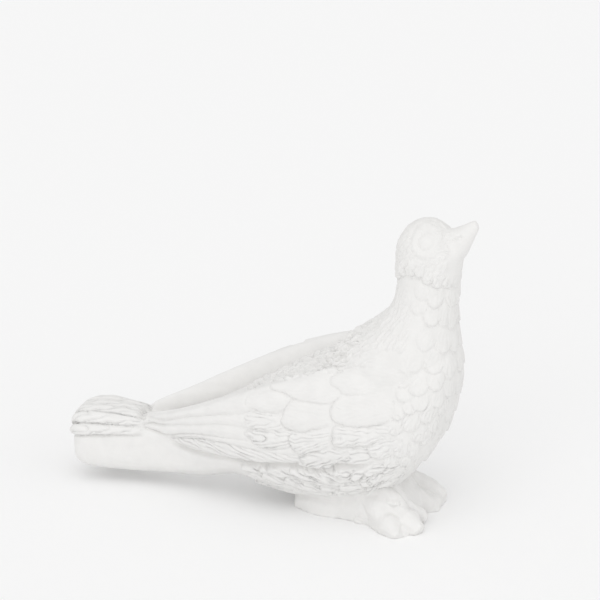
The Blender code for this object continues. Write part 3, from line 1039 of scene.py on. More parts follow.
@dataclass
class BellyPlumage:
    """Rough combed feathers over the flank and belly, below the wing.

    Each is found by a ray from a line inside the body, which sags towards the tail.
    """

    axis_height: float = 40.0
    axis_front: float = 14.0
    sag_from: float = -36.0
    sag: float = 0.45
    hind: float = -66.0
    front: float = 36.0
    step: float = 9.5
    rows: int = 9
    row_from: float = 2.0
    row_step: float = 11.0
    slope: float = 22.0
    level_at: float = -8.0
    level_run: float = 16.0
    length: float = 22.0
    width: float = 9.0
    rise: float = 2.0
    reach: float = 15.0
    foot_line: tuple[Point, ...] = ((-38, 8), (-21, 11), (-9, 12.5), (0, 15), (9, 21), (17, 24))
    wing_line: tuple[Point, ...] = ((-64, 21), (-45, 24), (-25, 28), (-10, 32), (5, 34), (20, 36), (32, 42))

    def carve(self, relief: Relief) -> None:
        """Lay the feathers from the hindmost and lowest; they fall towards the breast, then rise.

        Args:
            relief: The skin's relief.
        """
        dice = np.random.default_rng(5)
        for column in range(int((self.front - self.hind) / self.step)):
            for row in reversed(range(self.rows)):
                for side in Side:
                    shake = dice.uniform(-1.0, 1.0, 6)
                    x = self.hind + self.step * (column + 0.5 * (row % 2) + 0.3 * shake[0])
                    fall = math.radians(self.row_from + self.row_step * (row + 0.35 * shake[1]))
                    lean = max(x - self.axis_front, 0.0) / 30.0
                    outward = Vector((lean, side.value * math.cos(fall), -math.sin(fall)))
                    height = self.axis_height - max(self.sag_from - x, 0.0) * self.sag
                    start = Vector((min(x, self.axis_front), 0.0, height))
                    place, _ = relief.spot(start, outward)
                    if place is None or self.is_bare(place):
                        continue
                    bend = min(max((x - self.level_at) / self.level_run, 0.0), 1.0)
                    turn = math.radians(self.slope * (2.0 * bend - 1.0) + 14.0 * shake[2])
                    heading = Vector((-math.cos(turn), 0.0, -math.sin(turn)))
                    feather = self.feather(shake, 700 + 31 * column + row)
                    feather.lay(relief, relief.around(start, outward, heading, self.reach))

    def is_bare(self, place: Vector) -> bool:
        """Return whether a place is on the wing, on a foot or on the smooth skin before the tail.

        Args:
            place: A place on the skin in mm.

        Returns:
            True where no feather is laid.
        """
        if place.z > np.interp(place.x, *zip(*self.wing_line)):
            return True
        if place.x > -40.0 and place.z < np.interp(place.x, *zip(*self.foot_line)) + 1.5:
            return True
        return place.x < 1.17 * (23.6 - place.z) - 61.0

    def feather(self, shake: np.ndarray, seed: int) -> Feather:
        """Return one feather, its size shaken a little, laid out round the origin.

        Args:
            shake: Random values between -1 and 1.
            seed: Chooses how its barbs wander.

        Returns:
            The feather.
        """
        half = 0.5 * self.length * (1.0 + 0.2 * shake[3])
        return Feather(
            root=(-half, 0.0),
            tip=(half, 0.0),
            width=self.width * (1.0 + 0.25 * shake[4]),
            rise=self.rise * (1.0 + 0.3 * shake[5]),
            low=0.3,
            crown=0.35,
            round_from=0.5,
            barbs=Barbs.COMBED,
            undercut=0.8,
            seed=seed,
        )


@dataclass
class WingPlumage:
    """Flight feathers and coverts of one folded wing, from the lowest layer to the highest."""

    side: Side

    def primaries(self) -> Iterator[Lobe]:
        """Yield the lower layer: the two long vanes and the rounded feathers before them."""
        lower = (
            (-103, 29.5), (-96.5, 26.9), (-86, 25.7), (-74.8, 26), (-63.8, 26.4), (-51.5, 27.4),
            (-39, 30), (-30, 31.4), (-24, 33), (-26, 37.5), (-40, 36.8), (-60, 36.6), (-80, 35.8),
            (-96, 32.2),
        )
        yield Lobe(
            lower, (-0.2, -1), 1.5, low=0.45, barbs=Barbs.COARSE,
            root=(-20, 31), tip=(-110, 24), seed=11,
        )
        upper = (
            (-104, 31), (-97, 31.5), (-86, 34.8), (-70, 35.8), (-55, 36), (-40, 36), (-30, 37),
            (-28, 41), (-44, 42), (-60, 42), (-80, 40), (-96, 36),
        )
        yield Lobe(
            upper, (-0.1, -1), 1.5, low=0.5, barbs=Barbs.FAINT, undercut=0.2,
            root=(-20, 36), tip=(-110, 29), seed=12,
        )
        front = (
            (-9, 40), (-7.5, 37.2), (-2, 35.7), (1.5, 35.4), (4.8, 36.3), (8.3, 36.8), (12, 38.7),
            (14, 43), (10, 47), (0, 46), (-8, 45),
        )
        yield Lobe(front, (-0.5, -0.85), 1.5, barbs=Barbs.BOLD, root=(20, 44), tip=(-12, 37), seed=13)
        end = (
            (-27, 34.5), (-25, 31.3), (-21, 30.4), (-16, 31), (-12, 31.6), (-9.6, 33.9), (-6, 36),
            (-3.6, 37.3), (0, 41), (-2, 46), (-12, 44), (-22, 41), (-27, 38),
        )
        yield Lobe(end, (-0.6, -0.8), 1.6, barbs=Barbs.BOLD, root=(4, 44), tip=(-30, 33), seed=14)
        curl = (
            (8.6, 45.5), (9, 43.4), (10.3, 41), (12.2, 39.9), (14.6, 39.7), (19, 42), (22, 45),
            (26, 50), (22, 53), (15, 51), (10, 48),
        )
        yield Lobe(curl, (-0.7, -0.7), 1.5, barbs=Barbs.FINE, root=(26, 51), tip=(8, 41), seed=15)

    def quills(self) -> Iterator[Lobe]:
        """Yield the three long feathers of the upper layer, the lowest one first."""
        low = (
            (-118, 33.5), (-111, 31.6), (-104, 31.3), (-95.6, 34.6), (-84.5, 37.4), (-72.5, 38.9),
            (-60.5, 40.2), (-55, 41), (-50, 45), (-55, 47.5), (-70, 46), (-90, 41), (-107, 36.3),
        )
        yield Lobe(
            low, (0, -1), 1.7, low=0.6, barbs=Barbs.FAINT, undercut=1.3,
            root=(-40, 46), tip=(-116, 33), seed=21,
        )
        middle = (
            (-117.5, 35.5), (-107, 36), (-88, 41.3), (-70, 46), (-55, 47.2), (-50, 52), (-58, 54.7),
            (-68, 52.2), (-78, 49.2), (-92, 44.7), (-106, 39.2),
        )
        yield Lobe(
            middle, (0, -1), 1.4, low=0.7, barbs=Barbs.FAINT, undercut=0.25,
            root=(-40, 52), tip=(-116, 36), seed=22,
        )
        high = (
            (-117, 37.4), (-106, 39), (-92, 44.5), (-78, 49), (-68, 52), (-58, 54.5), (-50, 60),
            (-50, 68), (-62, 63), (-80, 54), (-95, 47), (-112, 40),
        )
        yield Lobe(
            high, (0.2, -1), 1.5, low=0.7, barbs=Barbs.FAINT, undercut=0.4,
            root=(-40, 64), tip=(-116, 37), seed=23,
        )

    def coverts(self) -> Iterator[Lobe]:
        """Yield the short overlapping feathers of the shoulder, the hindmost first."""
        fan = (
            (-57, 53), (-55, 48.5), (-48, 46), (-38, 46.5), (-33, 50), (-36, 56), (-44, 58),
            (-52, 57.5),
        )
        yield Lobe(
            fan, (-0.8, -0.6), 1.6, low=0.6, barbs=Barbs.FINE, undercut=0.2,
            root=(-34, 55), tip=(-60, 50), seed=31,
        )
        hind = (
            (-53.6, 41.5), (-49.5, 38.4), (-43.3, 38), (-37.5, 39.6), (-32, 41), (-26, 44), (-24, 50),
            (-34, 51), (-46, 48.5), (-54, 46.5), (-56.5, 44),
        )
        yield Lobe(
            hind, (-0.3, -0.95), 2.0, low=0.3, barbs=Barbs.BOLD, undercut=0.9,
            root=(-24, 47), tip=(-60, 42), seed=32,
        )
        middle = (
            (-31.5, 42.5), (-28.5, 38.7), (-24.7, 38), (-20.9, 40.2), (-14.8, 42.4), (-9, 46.4),
            (-7, 51), (-14, 54), (-22, 52), (-29, 50), (-32, 46.5),
        )
        yield Lobe(
            middle, (-0.4, -0.9), 2.0, low=0.2, barbs=Barbs.FINE, undercut=0.9,
            root=(-6, 51), tip=(-36, 41), seed=33,
        )
        front = (
            (-9, 48.5), (-8.5, 46.2), (-4.3, 45.4), (0, 46), (5, 47), (8.6, 47.3), (11.8, 48.8),
            (14.5, 50.8), (17.3, 52), (20, 55), (18, 60), (8, 58), (-3, 57.5), (-8.5, 55),
        )
        yield Lobe(
            front, (-0.3, -0.95), 2.0, low=0.2, barbs=Barbs.FINE, undercut=0.9,
            root=(24, 55), tip=(-12, 49), seed=34,
        )
        small = (
            (-56, 59.5), (-52, 58), (-44, 57.6), (-38, 58.5), (-33, 62), (-33, 67), (-40, 69.5),
            (-48, 67), (-55, 63.5),
        )
        yield Lobe(
            small, (-0.6, -0.8), 1.6, low=0.5, barbs=Barbs.FAINT, undercut=0.3,
            root=(-34, 66), tip=(-58, 59), seed=35,
        )
        broad = (
            (-36.3, 54.3), (-34.5, 51.8), (-30.6, 50.7), (-27, 50.4), (-23.2, 51.2), (-20, 52.7),
            (-14.5, 54.4), (-9, 57.5), (-6, 63), (-8, 68), (-20, 68), (-30, 67), (-34, 62),
            (-35.8, 57.5),
        )
        yield Lobe(
            broad, (-0.6, -0.8), 1.6, barbs=Barbs.FAINT, undercut=0.7,
            root=(0, 64), tip=(-40, 55), seed=37,
        )
        ridge = (
            (-43.8, 69.5), (-39, 69.2), (-36, 69), (-32, 67.6), (-29, 66.8), (-20, 66.6), (-11, 67.2),
            (-4, 70), (-4, 76), (-12, 81), (-26, 78.5), (-38, 74), (-43.5, 72),
        )
        yield Lobe(ridge, (-0.3, -0.95), 1.5, barbs=Barbs.FAINT, root=(-2, 76), tip=(-46, 70), seed=36)
        lead = (
            (-8.5, 58.7), (-4, 57.3), (3, 57.1), (10, 58), (17.5, 60.3), (21.3, 64), (22, 70),
            (14, 74.5), (3, 73.5), (-4, 72), (-9, 68), (-10.5, 63),
        )
        yield Lobe(
            lead, (-0.4, -0.9), 1.6, barbs=Barbs.FAINT, undercut=0.8,
            root=(26, 68), tip=(-12, 62), seed=38,
        )
        crest = (
            (-12, 78.2), (-11, 76.2), (-7.3, 75), (-4, 72.5), (4, 73), (14, 75), (24, 79), (26, 86),
            (15, 88), (4.8, 85.6), (-1.8, 84.8), (-7, 82.4), (-11.2, 80),
        )
        yield Lobe(
            crest, (-1, -0.1), 1.3, barbs=Barbs.FAINT, undercut=0.4,
            root=(24, 82), tip=(-16, 78), seed=39,
        )

    def carve(self, relief: Relief) -> None:
        """Carve the deep cut under the wing, then the wing.

        Args:
            relief: The skin's relief.
        """
        patch = relief.side(self.side, LEFT_LIFT if self.side is Side.LEFT else 0.0)
        edge = ((-105, 28.6), (-96.5, 25.6), (-86, 24.3), (-74.8, 24.6), (-63.8, 25), (-46, 26.6))
        Groove(edge, 1.2, 2.6).cut(relief, patch)
        under = ((-80, 24.4), (-63.8, 24.8), (-46, 26.6), (-39, 28.4), (-31, 29.8), (-21, 28.8))
        under += ((-12, 30), (-8, 33.4), (-1, 34), (6, 34.6), (12, 37))
        Groove(under, 1.3, 3.6).cut(relief, patch)
        for feather in (*self.primaries(), *self.quills(), *self.coverts()):
            feather.lay(relief, patch)


@dataclass
class ScalePlumage:
    """Overlapping scales from the ruff down over the neck and breast.

    The scales of a side are placed by the X and Z of their tips, with their width and
    length. Rings of scales fill the front, along a path given by X, Z and its lean in degrees.
    Scales high on the side are faint, and only the low ones are combed.
    """

    placed: tuple[Row, ...] = (
        (18, 35, 9, 12), (24, 35, 9, 12), (28, 40.5, 8, 12), (23.5, 41, 9, 12), (33.5, 46.5, 9, 12),
        (20.5, 45, 8, 11), (31, 49.5, 9, 12), (38, 53.5, 9, 12), (20.5, 54.3, 9, 12), (28, 56, 9.5, 13),
        (35.5, 59.6, 9, 13), (41.5, 62, 9, 13), (23, 62, 9, 13), (28.5, 65.2, 8.5, 12),
        (33.5, 66.6, 9, 13), (40.5, 66.8, 9.5, 13), (24.5, 71.5, 9, 12), (43.8, 70.5, 9, 13),
        (30.3, 75.2, 10.5, 14), (39.3, 76.5, 10.5, 14), (23, 78.3, 9, 13), (44.4, 80, 9, 14),
        (29.5, 85.7, 10.5, 15), (37, 85, 10.5, 14), (41.5, 93.5, 11, 15), (33, 96.3, 11, 16),
        (43.5, 104, 9, 13), (36, 108, 9.5, 13), (28.5, 114, 9, 11), (43.5, 118, 8, 12),
        (37, 117.2, 9, 12), (22, 118, 8, 10), (30.5, 121.3, 9.5, 12),
    )
    path: tuple[Row, ...] = (
        (29, 127, 15), (23, 108, 22), (17, 92, 32), (11, 79, 44), (5, 63, 66), (0, 50, 84),
    )
    rings: int = 11
    plain_rings: int = 6
    spread: float = 34.0
    length: float = 14.0
    width: float = 9.6
    rise: float = 1.2
    side_reach: float = 16.0
    front_reach: float = 12.0
    faint_from: Point = (34.0, 84.0)
    faint: float = 0.55
    combed_below: float = 64.0

    def carve(self, relief: Relief) -> None:
        """Carve the front rings, then the scales of each side from the lowest up.

        Args:
            relief: The skin's relief.
        """
        self.carve_front(relief)
        dice = np.random.default_rng(9)
        for x, z, width, length in self.placed:
            for side in Side:
                turn = 0.25 * dice.uniform(-1.0, 1.0)
                start = Vector((x, side.value * FAR_OUT, z))
                heading = Vector((-0.35 + turn, 0.0, -1.0))
                inwards = Vector((0.0, -side.value, 0.0))
                patch = relief.around(start, inwards, heading, self.side_reach)
                if patch is None:
                    continue
                is_faint = x < self.faint_from[0] and z > self.faint_from[1]
                strength = self.faint if is_faint else 1.0
                barbs = Barbs.SCALED if z < self.combed_below else Barbs.FAINT
                self.scale((-length, 0.0), width, strength, barbs, int(10 * x + z)).lay(relief, patch)

    def scale(self, ends: Point, width: float, strength: float, barbs: Barbs, seed: int) -> Feather:
        """Return one scale, from root to tip, whose relief is stronger or fainter.

        Args:
            ends: Where it starts and ends along the patch.
            width: Its width in mm.
            strength: Share of the full relief.
            barbs: How boldly it is combed.
            seed: Chooses how its barbs wander.

        Returns:
            The scale.
        """
        return Feather(
            root=(ends[0], 0.0),
            tip=(ends[1], 0.0),
            width=width,
            rise=self.rise * strength,
            edge=0.9,
            round_from=0.5,
            shaft=0.12,
            undercut=0.35 * strength,
            barbs=barbs,
            seed=seed,
        )

    def carve_front(self, relief: Relief) -> None:
        """Carve the rings of scales down the front, the lowest ring first.

        Args:
            relief: The skin's relief.
        """
        line = Form(stations=self.path)
        dice = np.random.default_rng(8)
        for ring in reversed(range(self.rings)):
            x, z, tilt = line.row(ring / (self.rings - 1))
            lean = math.radians(tilt)
            front = Vector((math.cos(lean), 0.0, -math.sin(lean)))
            heading = Vector((-math.sin(lean), 0.0, -math.cos(lean)))
            barbs = Barbs.FAINT if ring < self.plain_rings else Barbs.SCALED
            count = 18 + ring // 2
            for column in range(count):
                shake = dice.uniform(-1.0, 1.0, 3)
                turn = 2.0 * math.pi * (column + 0.5 * (ring % 2) + 0.1 * shake[0]) / count - math.pi
                if abs(turn) > math.radians(self.spread):
                    continue
                outward = front * math.cos(turn) + Vector((0.0, math.sin(turn), 0.0))
                start = Vector((x, 0.0, z)) - heading * shake[1]
                patch = relief.around(start, outward, heading, self.front_reach)
                if patch is not None:
                    half = 0.5 * self.length * (1.0 + 0.06 * shake[2])
                    self.scale((-half, half), self.width, 1.0, barbs, ring * 40 + column).lay(relief, patch)


@dataclass
class MantlePlumage:
    """Small rough feathers on the back, between the ridges of the wings and up the nape.

    They cover a wedge that opens forwards: right and left give its half width on each side,
    by how far it opens per mm and its greatest width.
    """

    hind: float = -62.0
    front: float = 14.0
    wedge_tip: float = -59.5
    right: Row = (9.5, 0.7, 25.5)
    left: Row = (8.3, 0.6, 17.0)
    step: float = 3.9
    rows: int = 14
    row_step: float = 2.5
    nape_height: float = 98.0
    nape_step: float = 2.8
    nape_levels: int = 9
    neck_axis: float = 28.0
    length: float = 6.6
    width: float = 2.2
    rise: float = 2.4
    reach: float = 4.5
    fade_front: float = 16.0
    fade_run: float = 26.0

    def carve(self, relief: Relief) -> None:
        """Carve the back from above and the nape from inside the neck.

        Args:
            relief: The skin's relief.
        """
        ridges = np.zeros(len(relief.raised))
        dice = np.random.default_rng(12)
        for column in range(int((self.front - self.hind) / self.step)):
            for row in range(-self.rows, self.rows + 1):
                shake = dice.uniform(-1.0, 1.0, 6)
                x = self.hind + self.step * (column + 0.5 * (row % 2) + 0.3 * shake[0])
                y = self.row_step * (row + 0.3 * shake[1])
                if -self.edge(self.right, x) < y < self.edge(self.left, x):
                    start = Vector((x, y, 2.0 * FAR_OUT))
                    heading = Vector((-1.0, 0.7 * shake[2], -0.5))
                    self.feather(ridges, relief.around(start, -UP, heading, self.reach), x, shake)
        for level in range(self.nape_levels):
            for column in range(-9, 10):
                shake = dice.uniform(-1.0, 1.0, 6)
                z = self.nape_height + self.nape_step * (level + 0.3 * shake[0])
                turn = math.radians(9.0 * (column + 0.5 * (level % 2) + 0.3 * shake[1]))
                outward = Vector((-math.cos(turn), math.sin(turn), 0.0))
                heading = Vector((-0.4, 0.3 * shake[2], -1.0))
                start = Vector((self.neck_axis, 0.0, z))
                patch = relief.around(start, outward, heading, self.reach)
                self.feather(ridges, patch, self.neck_axis, shake)
        relief.raised += ridges

    def edge(self, wedge: Row, x: float) -> float:
        """Return how far out the wedge reaches on one side."""
        start, opening, widest = wedge
        return min(start + opening * (x - self.wedge_tip), widest)

    def feather(self, ridges: np.ndarray, patch: Patch | None, x: float, shake: np.ndarray) -> None:
        """Raise one small feather on a patch, fainter towards the neck.

        Args:
            ridges: Height of the ridges at each point of the skin.
            patch: Where it is laid, or None where the ray missed.
            x: Its place along the bird in mm.
            shake: Random values between -1 and 1.
        """
        if patch is not None:
            size = (self.length * (1.0 + 0.2 * shake[3]), self.width * (1.0 + 0.2 * shake[4]))
            fade = min(max((self.fade_front - x) / self.fade_run, 0.3), 1.0)
            Stroke(*size, fade * self.rise * (0.8 + 0.3 * shake[5])).lay(ridges, patch)


@dataclass
class TailPlumage:
    """Long feathers fanned over the tail, parted by deep cuts, above a smooth outer face.

    Each vane is placed by its turn from the crest and its width, both in degrees round a
    line at the height core. The stretch lays a degree out as so many mm.
    """

    core: float = 21.0
    vanes: tuple[Point, ...] = ((0.0, 24.0), (22.0, 23.0), (44.0, 24.0), (66.0, 22.0))
    root: float = -80.0
    root_turn: float = 0.47
    tip: float = -161.0
    stretch: float = 0.3
    rise: float = 2.4
    pocket: tuple[Point, ...] = ((-120, -9), (-121.5, 0), (-120, 9))

    def carve(self, relief: Relief) -> None:
        """Carve the vanes of both sides, the outermost first, and the pocket under the wing tips.

        Args:
            relief: The skin's relief.
        """
        patch = relief.tail(self.core)
        scaled = Patch(patch.picks, patch.u, self.stretch * patch.v, patch.facing)
        for turn, width in reversed(self.vanes):
            for sign in (-1.0, 1.0) if turn else (1.0,):
                Feather(
                    root=(self.root, self.root_turn * self.stretch * sign * turn),
                    tip=(self.tip, self.stretch * sign * turn),
                    width=self.stretch * width,
                    rise=self.rise,
                    crown=0.85,
                    round_from=0.85,
                    low=0.6,
                    edge=0.6,
                    undercut=1.9,
                    barbs=Barbs.FINE,
                    seed=int(60 + turn),
                ).lay(relief, scaled)
        Groove(self.pocket, 2.0, 3.0).cut(relief, relief.top())


@dataclass
class HeadFeatures:
    """Eyes, the line of the bill, fine plumage and the scalloped edge where it ends.

    The ruff's feathers are placed by the X and Z of their tips.
    """

    eye: Point = (31.8, 150.2)
    eye_radius: float = 4.0
    eye_rise: float = 0.7
    lid_radius: float = 6.2
    lid_rise: float = 0.5
    middle: Row = (29.0, 0.0, 144.0)
    plumage_front: float = 42.0
    plumage_foot: float = 132.0
    bill_line: tuple[Point, ...] = ((43.2, 150.2), (45.4, 151), (47.8, 152.4))
    bill_ridge: tuple[Point, ...] = ((46.5, 147), (49.5, 150.5), (53, 155.5))
    ruff: tuple[Point, ...] = (
        (15, 128), (19, 131), (24.5, 132.6), (29.5, 132.4), (33.5, 129.6), (38, 127.4), (42.6, 126.4),
        (46, 124.4),
    )

    def carve(self, relief: Relief, side: Side) -> None:
        """Carve one side of the head.

        Args:
            relief: The skin's relief.
            side: Which side of the bird.
        """
        patch = relief.side(side)
        for number, tip in enumerate(self.ruff):
            Feather(
                root=(tip[0] + 1.0, tip[1] + 9.0),
                tip=tip,
                width=6.4,
                rise=1.3,
                low=0.0,
                edge=0.9,
                undercut=0.6,
                barbs=Barbs.SCALED,
                seed=80 + number,
            ).lay(relief, patch)
        self.carve_plumage(relief, side)
        self.carve_eye(relief, patch)
        Groove(self.bill_line, 0.8, 1.1).cut(relief, patch)
        Groove(self.bill_ridge, 1.2, -0.5).cut(relief, patch)

    def carve_eye(self, relief: Relief, patch: Patch) -> None:
        """Raise the eye and its lid, which fades out above, between two hollows.

        Args:
            relief: The skin's relief.
            patch: That side of the bird, laid out flat.
        """
        aside = patch.u - self.eye[0]
        above = patch.v - self.eye[1]
        away = np.hypot(aside, above)
        lower = soft_step(0.6 - (aside + 0.6 * above) / 14.0)
        button = self.eye_rise * np.clip(1.0 - (away / self.eye_radius) ** 2, 0.0, 1.0)
        lid = self.lid_rise * np.exp(-(((away - self.lid_radius) / 1.2) ** 2))
        hollow = 0.5 * np.exp(-(((away - self.eye_radius) / 0.7) ** 2))
        hollow += 0.4 * np.exp(-(((away - self.lid_radius - 2.2) / 0.8) ** 2))
        picks = patch.picks
        relief.raised[picks] = np.maximum(relief.raised[picks], (button + lid * lower) * patch.facing)
        relief.sunk[picks] += hollow * lower * patch.facing

    def carve_plumage(self, relief: Relief, side: Side) -> None:
        """Raise the fine feathers that lie back from the bill.

        Args:
            relief: The skin's relief.
            side: Which side of the bird.
        """
        ridges = np.zeros(len(relief.raised))
        dice = np.random.default_rng(21 + side.value)
        middle = Vector(self.middle)
        for level in range(20):
            for column in range(20):
                shake = dice.uniform(-1.0, 1.0, 6)
                rise = math.radians(-48.0 + 7.0 * (level + 0.4 * shake[0]))
                turn = math.radians(9.0 * (column + 0.5 * (level % 2) + 0.4 * shake[1]))
                outward = Vector((math.cos(turn), side.value * math.sin(turn), 0.0)) * math.cos(rise)
                outward.z = math.sin(rise)
                place, _ = relief.spot(middle, outward)
                if place is None or self.is_plain(place):
                    continue
                heading = Vector((-1.0, 0.0, -0.7 + 0.4 * shake[2]))
                patch = relief.around(middle, outward, heading, 4.0)
                if patch is not None:
                    stroke = Stroke(3.8 + shake[3], 1.7 + 0.3 * shake[4], 0.42 + 0.12 * shake[5])
                    stroke.lay(ridges, patch)
        relief.raised += ridges

    def is_plain(self, place: Vector) -> bool:
        """Return whether a place is on the bill, on the eye or below the ruff.

        Args:
            place: A place on the skin in mm.

        Returns:
            True where no fine feather is laid.
        """
        foot = self.plumage_foot - 0.35 * max(place.x - 30.0, 0.0)
        to_eye = math.hypot(place.x - self.eye[0], place.z - self.eye[1])
        return place.x > self.plumage_front or place.z < foot or to_eye < self.eye_radius + 1.5


@dataclass
class FootCreases:
    """Creases between the toes, across their knuckles and round the low mass of the feet."""

    right: tuple[tuple[Row, ...], ...] = (
        ((6, 18.5), (12, 20), (17, 23)),
        ((10, 10.5), (17, 14.8), (24, 16.2), (32, 15.6)),
    )
    left: tuple[tuple[Row, ...], ...] = (
        ((8, 17), (14, 20), (19, 23.4), (23, 27)),
        ((12, 10.5), (18, 13), (25, 14.2), (33, 14)),
    )
    across: tuple[tuple[Row, ...], ...] = (
        ((12.5, 28.5), (16.5, 23.4)),
        ((20, 32.4), (23.6, 28.4)),
        ((28, 25.6), (31.4, 19.4)),
        ((24, 13.6), (26, 9)),
    )
    rim: tuple[Point, ...] = ((-40, 4), (-30, 8), (-20, 10.5), (-8, 12.5), (2, 16), (9, 21))
    height: float = 24.0

    def carve(self, relief: Relief, side: Side) -> None:
        """Cut the creases of one foot.

        Args:
            relief: The skin's relief.
            side: Which side of the bird.
        """
        patch = relief.top()
        low = relief.points[patch.picks, 2] < self.height
        patch = Patch(patch.picks[low], patch.u[low], side.value * patch.v[low], patch.facing[low])
        for path in self.right if side is Side.RIGHT else self.left:
            Groove(path, 1.3, 0.9).cut(relief, patch)
        for path in self.across:
            Groove(path, 1.2, 0.4).cut(relief, patch)
        Groove(self.rim, 1.2, 0.8).cut(relief, relief.side(side))


@dataclass(frozen=True)
class CastStone:
    """White cast stone: matt, faintly speckled, with a fine sandy grain and combed barbs, and painted shade
    darkening the cuts between barbs.
    """

    name: str = "white_cast_stone"
    color: Row = (0.84, 0.833, 0.82, 1.0)
    darkest: float = 0.965
    roughness: float = 0.75
    specular: float = 0.25
    grain: float = 0.0009
    grain_bump: float = 0.0002
    swell: float = 0.006
    groove_bump: float = 0.0006
    # Painted shade: how much darker the colour is made in the cuts between barbs, by the depth of the cut.
    groove_painted_shade: float = 0.06

    def material(self) -> bpy.types.Material:
        """Build the node material.

        Returns:
            A material on Object coordinates and the skin's own attributes.
        """
        material = bpy.data.materials.new(self.name)
        material.use_nodes = True
        tree = material.node_tree
        link = tree.links.new
        shader = tree.nodes["Principled BSDF"]
        shader.inputs["Roughness"].default_value = self.roughness
        shader.inputs["Specular IOR Level"].default_value = self.specular
        place = self.node(tree, "TexCoord")
        speck = self.node(tree, "TexNoise", Scale=1.0 / self.swell, Detail=6.0)
        link(place.outputs["Object"], speck.inputs["Vector"])
        tone = self.node(tree, "ValToRGB")
        link(speck.outputs["Fac"], tone.inputs["Fac"])
        dark, bright = tone.color_ramp.elements
        dark.position = 0.3
        dark.color = tuple(self.darkest * c for c in self.color[:3]) + (1.0,)
        bright.position = 0.65
        bright.color = self.color
        cut = self.barb_cuts(tree)
        # Painted shade: the stone's tone is darkened where the barb cuts are deep.
        painted_shade_tone = self.node(tree, "VectorMath")
        painted_shade_tone.operation = "SCALE"
        link(tone.outputs["Color"], painted_shade_tone.inputs[0])
        link(self.math(tree, "MULTIPLY_ADD", cut, -self.groove_painted_shade, 1.0), painted_shade_tone.inputs["Scale"])
        link(painted_shade_tone.outputs["Vector"], shader.inputs["Base Color"])
        combed = self.node(tree, "Bump", Distance=self.groove_bump)
        combed.invert = True
        link(cut, combed.inputs["Height"])
        sand = self.node(tree, "TexNoise", Scale=1.0 / self.grain, Detail=3.0)
        link(place.outputs["Object"], sand.inputs["Vector"])
        bump = self.node(tree, "Bump", Strength=0.25, Distance=self.grain_bump)
        link(sand.outputs["Fac"], bump.inputs["Height"])
        link(combed.outputs["Normal"], bump.inputs["Normal"])
        link(bump.outputs["Normal"], shader.inputs["Normal"])
        return material

    @staticmethod
    def node(tree: bpy.types.NodeTree, kind: str, **settings: float) -> bpy.types.Node:
        """Add a shader node and set the inputs that are named.

        Args:
            tree: The material's node tree.
            kind: Kind of node, without its prefix.
            **settings: Value of each input, by its name.

        Returns:
            The node.
        """
        node = tree.nodes.new(f"ShaderNode{kind}")
        for name, value in settings.items():
            node.inputs[name].default_value = value
        return node

    @staticmethod
    def math(
        tree: bpy.types.NodeTree, operation: str, *values: bpy.types.NodeSocket | float
    ) -> bpy.types.NodeSocket:
        """Add a math node on sockets and constants, and return its output.

        Args:
            tree: The material's node tree.
            operation: What the node works out.
            *values: Sockets and constants, in the order of its inputs.

        Returns:
            The node's output.
        """
        node = tree.nodes.new("ShaderNodeMath")
        node.operation = operation
        for socket, value in zip(node.inputs, values):
            if isinstance(value, bpy.types.NodeSocket):
                tree.links.new(value, socket)
            else:
                socket.default_value = value
        return node.outputs["Value"]

    def barb_cuts(self, tree: bpy.types.NodeTree) -> bpy.types.NodeSocket:
        """Draw the fine cuts between barbs from the skin's own attributes.

        Args:
            tree: The material's node tree.

        Returns:
            A socket that is 0 on a barb and the depth of the cut in mm between two.
        """
        phase = self.node(tree, "Attribute")
        phase.attribute_name = "barb_phase"
        depth = self.node(tree, "Attribute")
        depth.attribute_name = "barb_depth"
        wave = self.math(tree, "SINE", self.math(tree, "MULTIPLY", phase.outputs["Fac"], math.pi))
        barb = self.math(tree, "POWER", self.math(tree, "ABSOLUTE", wave), BARB_CROWN)
        groove = self.math(tree, "MULTIPLY_ADD", barb, -1.0, 1.0)
        return self.math(tree, "MULTIPLY", groove, depth.outputs["Fac"])


@dataclass(frozen=True)
class PaleFloor:
    """Plain pale ground."""

    color: Row = (0.97, 0.97, 0.97, 1.0)
    roughness: float = 0.9
    specular: float = 0.1

    def material(self) -> bpy.types.Material:
        """Build the material.

        Returns:
            A plain matt material.
        """
        material = bpy.data.materials.new("pale_floor")
        material.use_nodes = True
        shader = material.node_tree.nodes["Principled BSDF"]
        shader.inputs["Base Color"].default_value = self.color
        shader.inputs["Roughness"].default_value = self.roughness
        shader.inputs["Specular IOR Level"].default_value = self.specular
        return material


def towards(azimuth: float, elevation: float) -> Vector:
    """Return the direction from the bird to a place round it, both angles in degrees.

    Args:
        azimuth: Turn from straight in front of the bird's right side.
        elevation: Angle above the ground.

    Returns:
        A direction of length 1.
    """
    turn = math.radians(azimuth)
    rise = math.radians(elevation)
    return Vector((math.sin(turn) * math.cos(rise), -math.cos(turn) * math.cos(rise), math.sin(rise)))


@dataclass(frozen=True)
class SoftLight:
    """A distant light that covers a wide angle of the sky. All its angles are in degrees."""

    name: str
    power: float
    spread: float
    azimuth: float
    elevation: float

    def place(self) -> None:
        """Add the light to the scene."""
        lamp = bpy.data.lights.new(self.name, "SUN")
        lamp.energy = self.power
        lamp.angle = math.radians(self.spread)
        light = bpy.data.objects.new(self.name, lamp)
        turned = towards(self.azimuth, self.elevation).to_track_quat("Z", "Y")
        light.rotation_euler = turned.to_euler()
        bpy.context.scene.collection.objects.link(light)


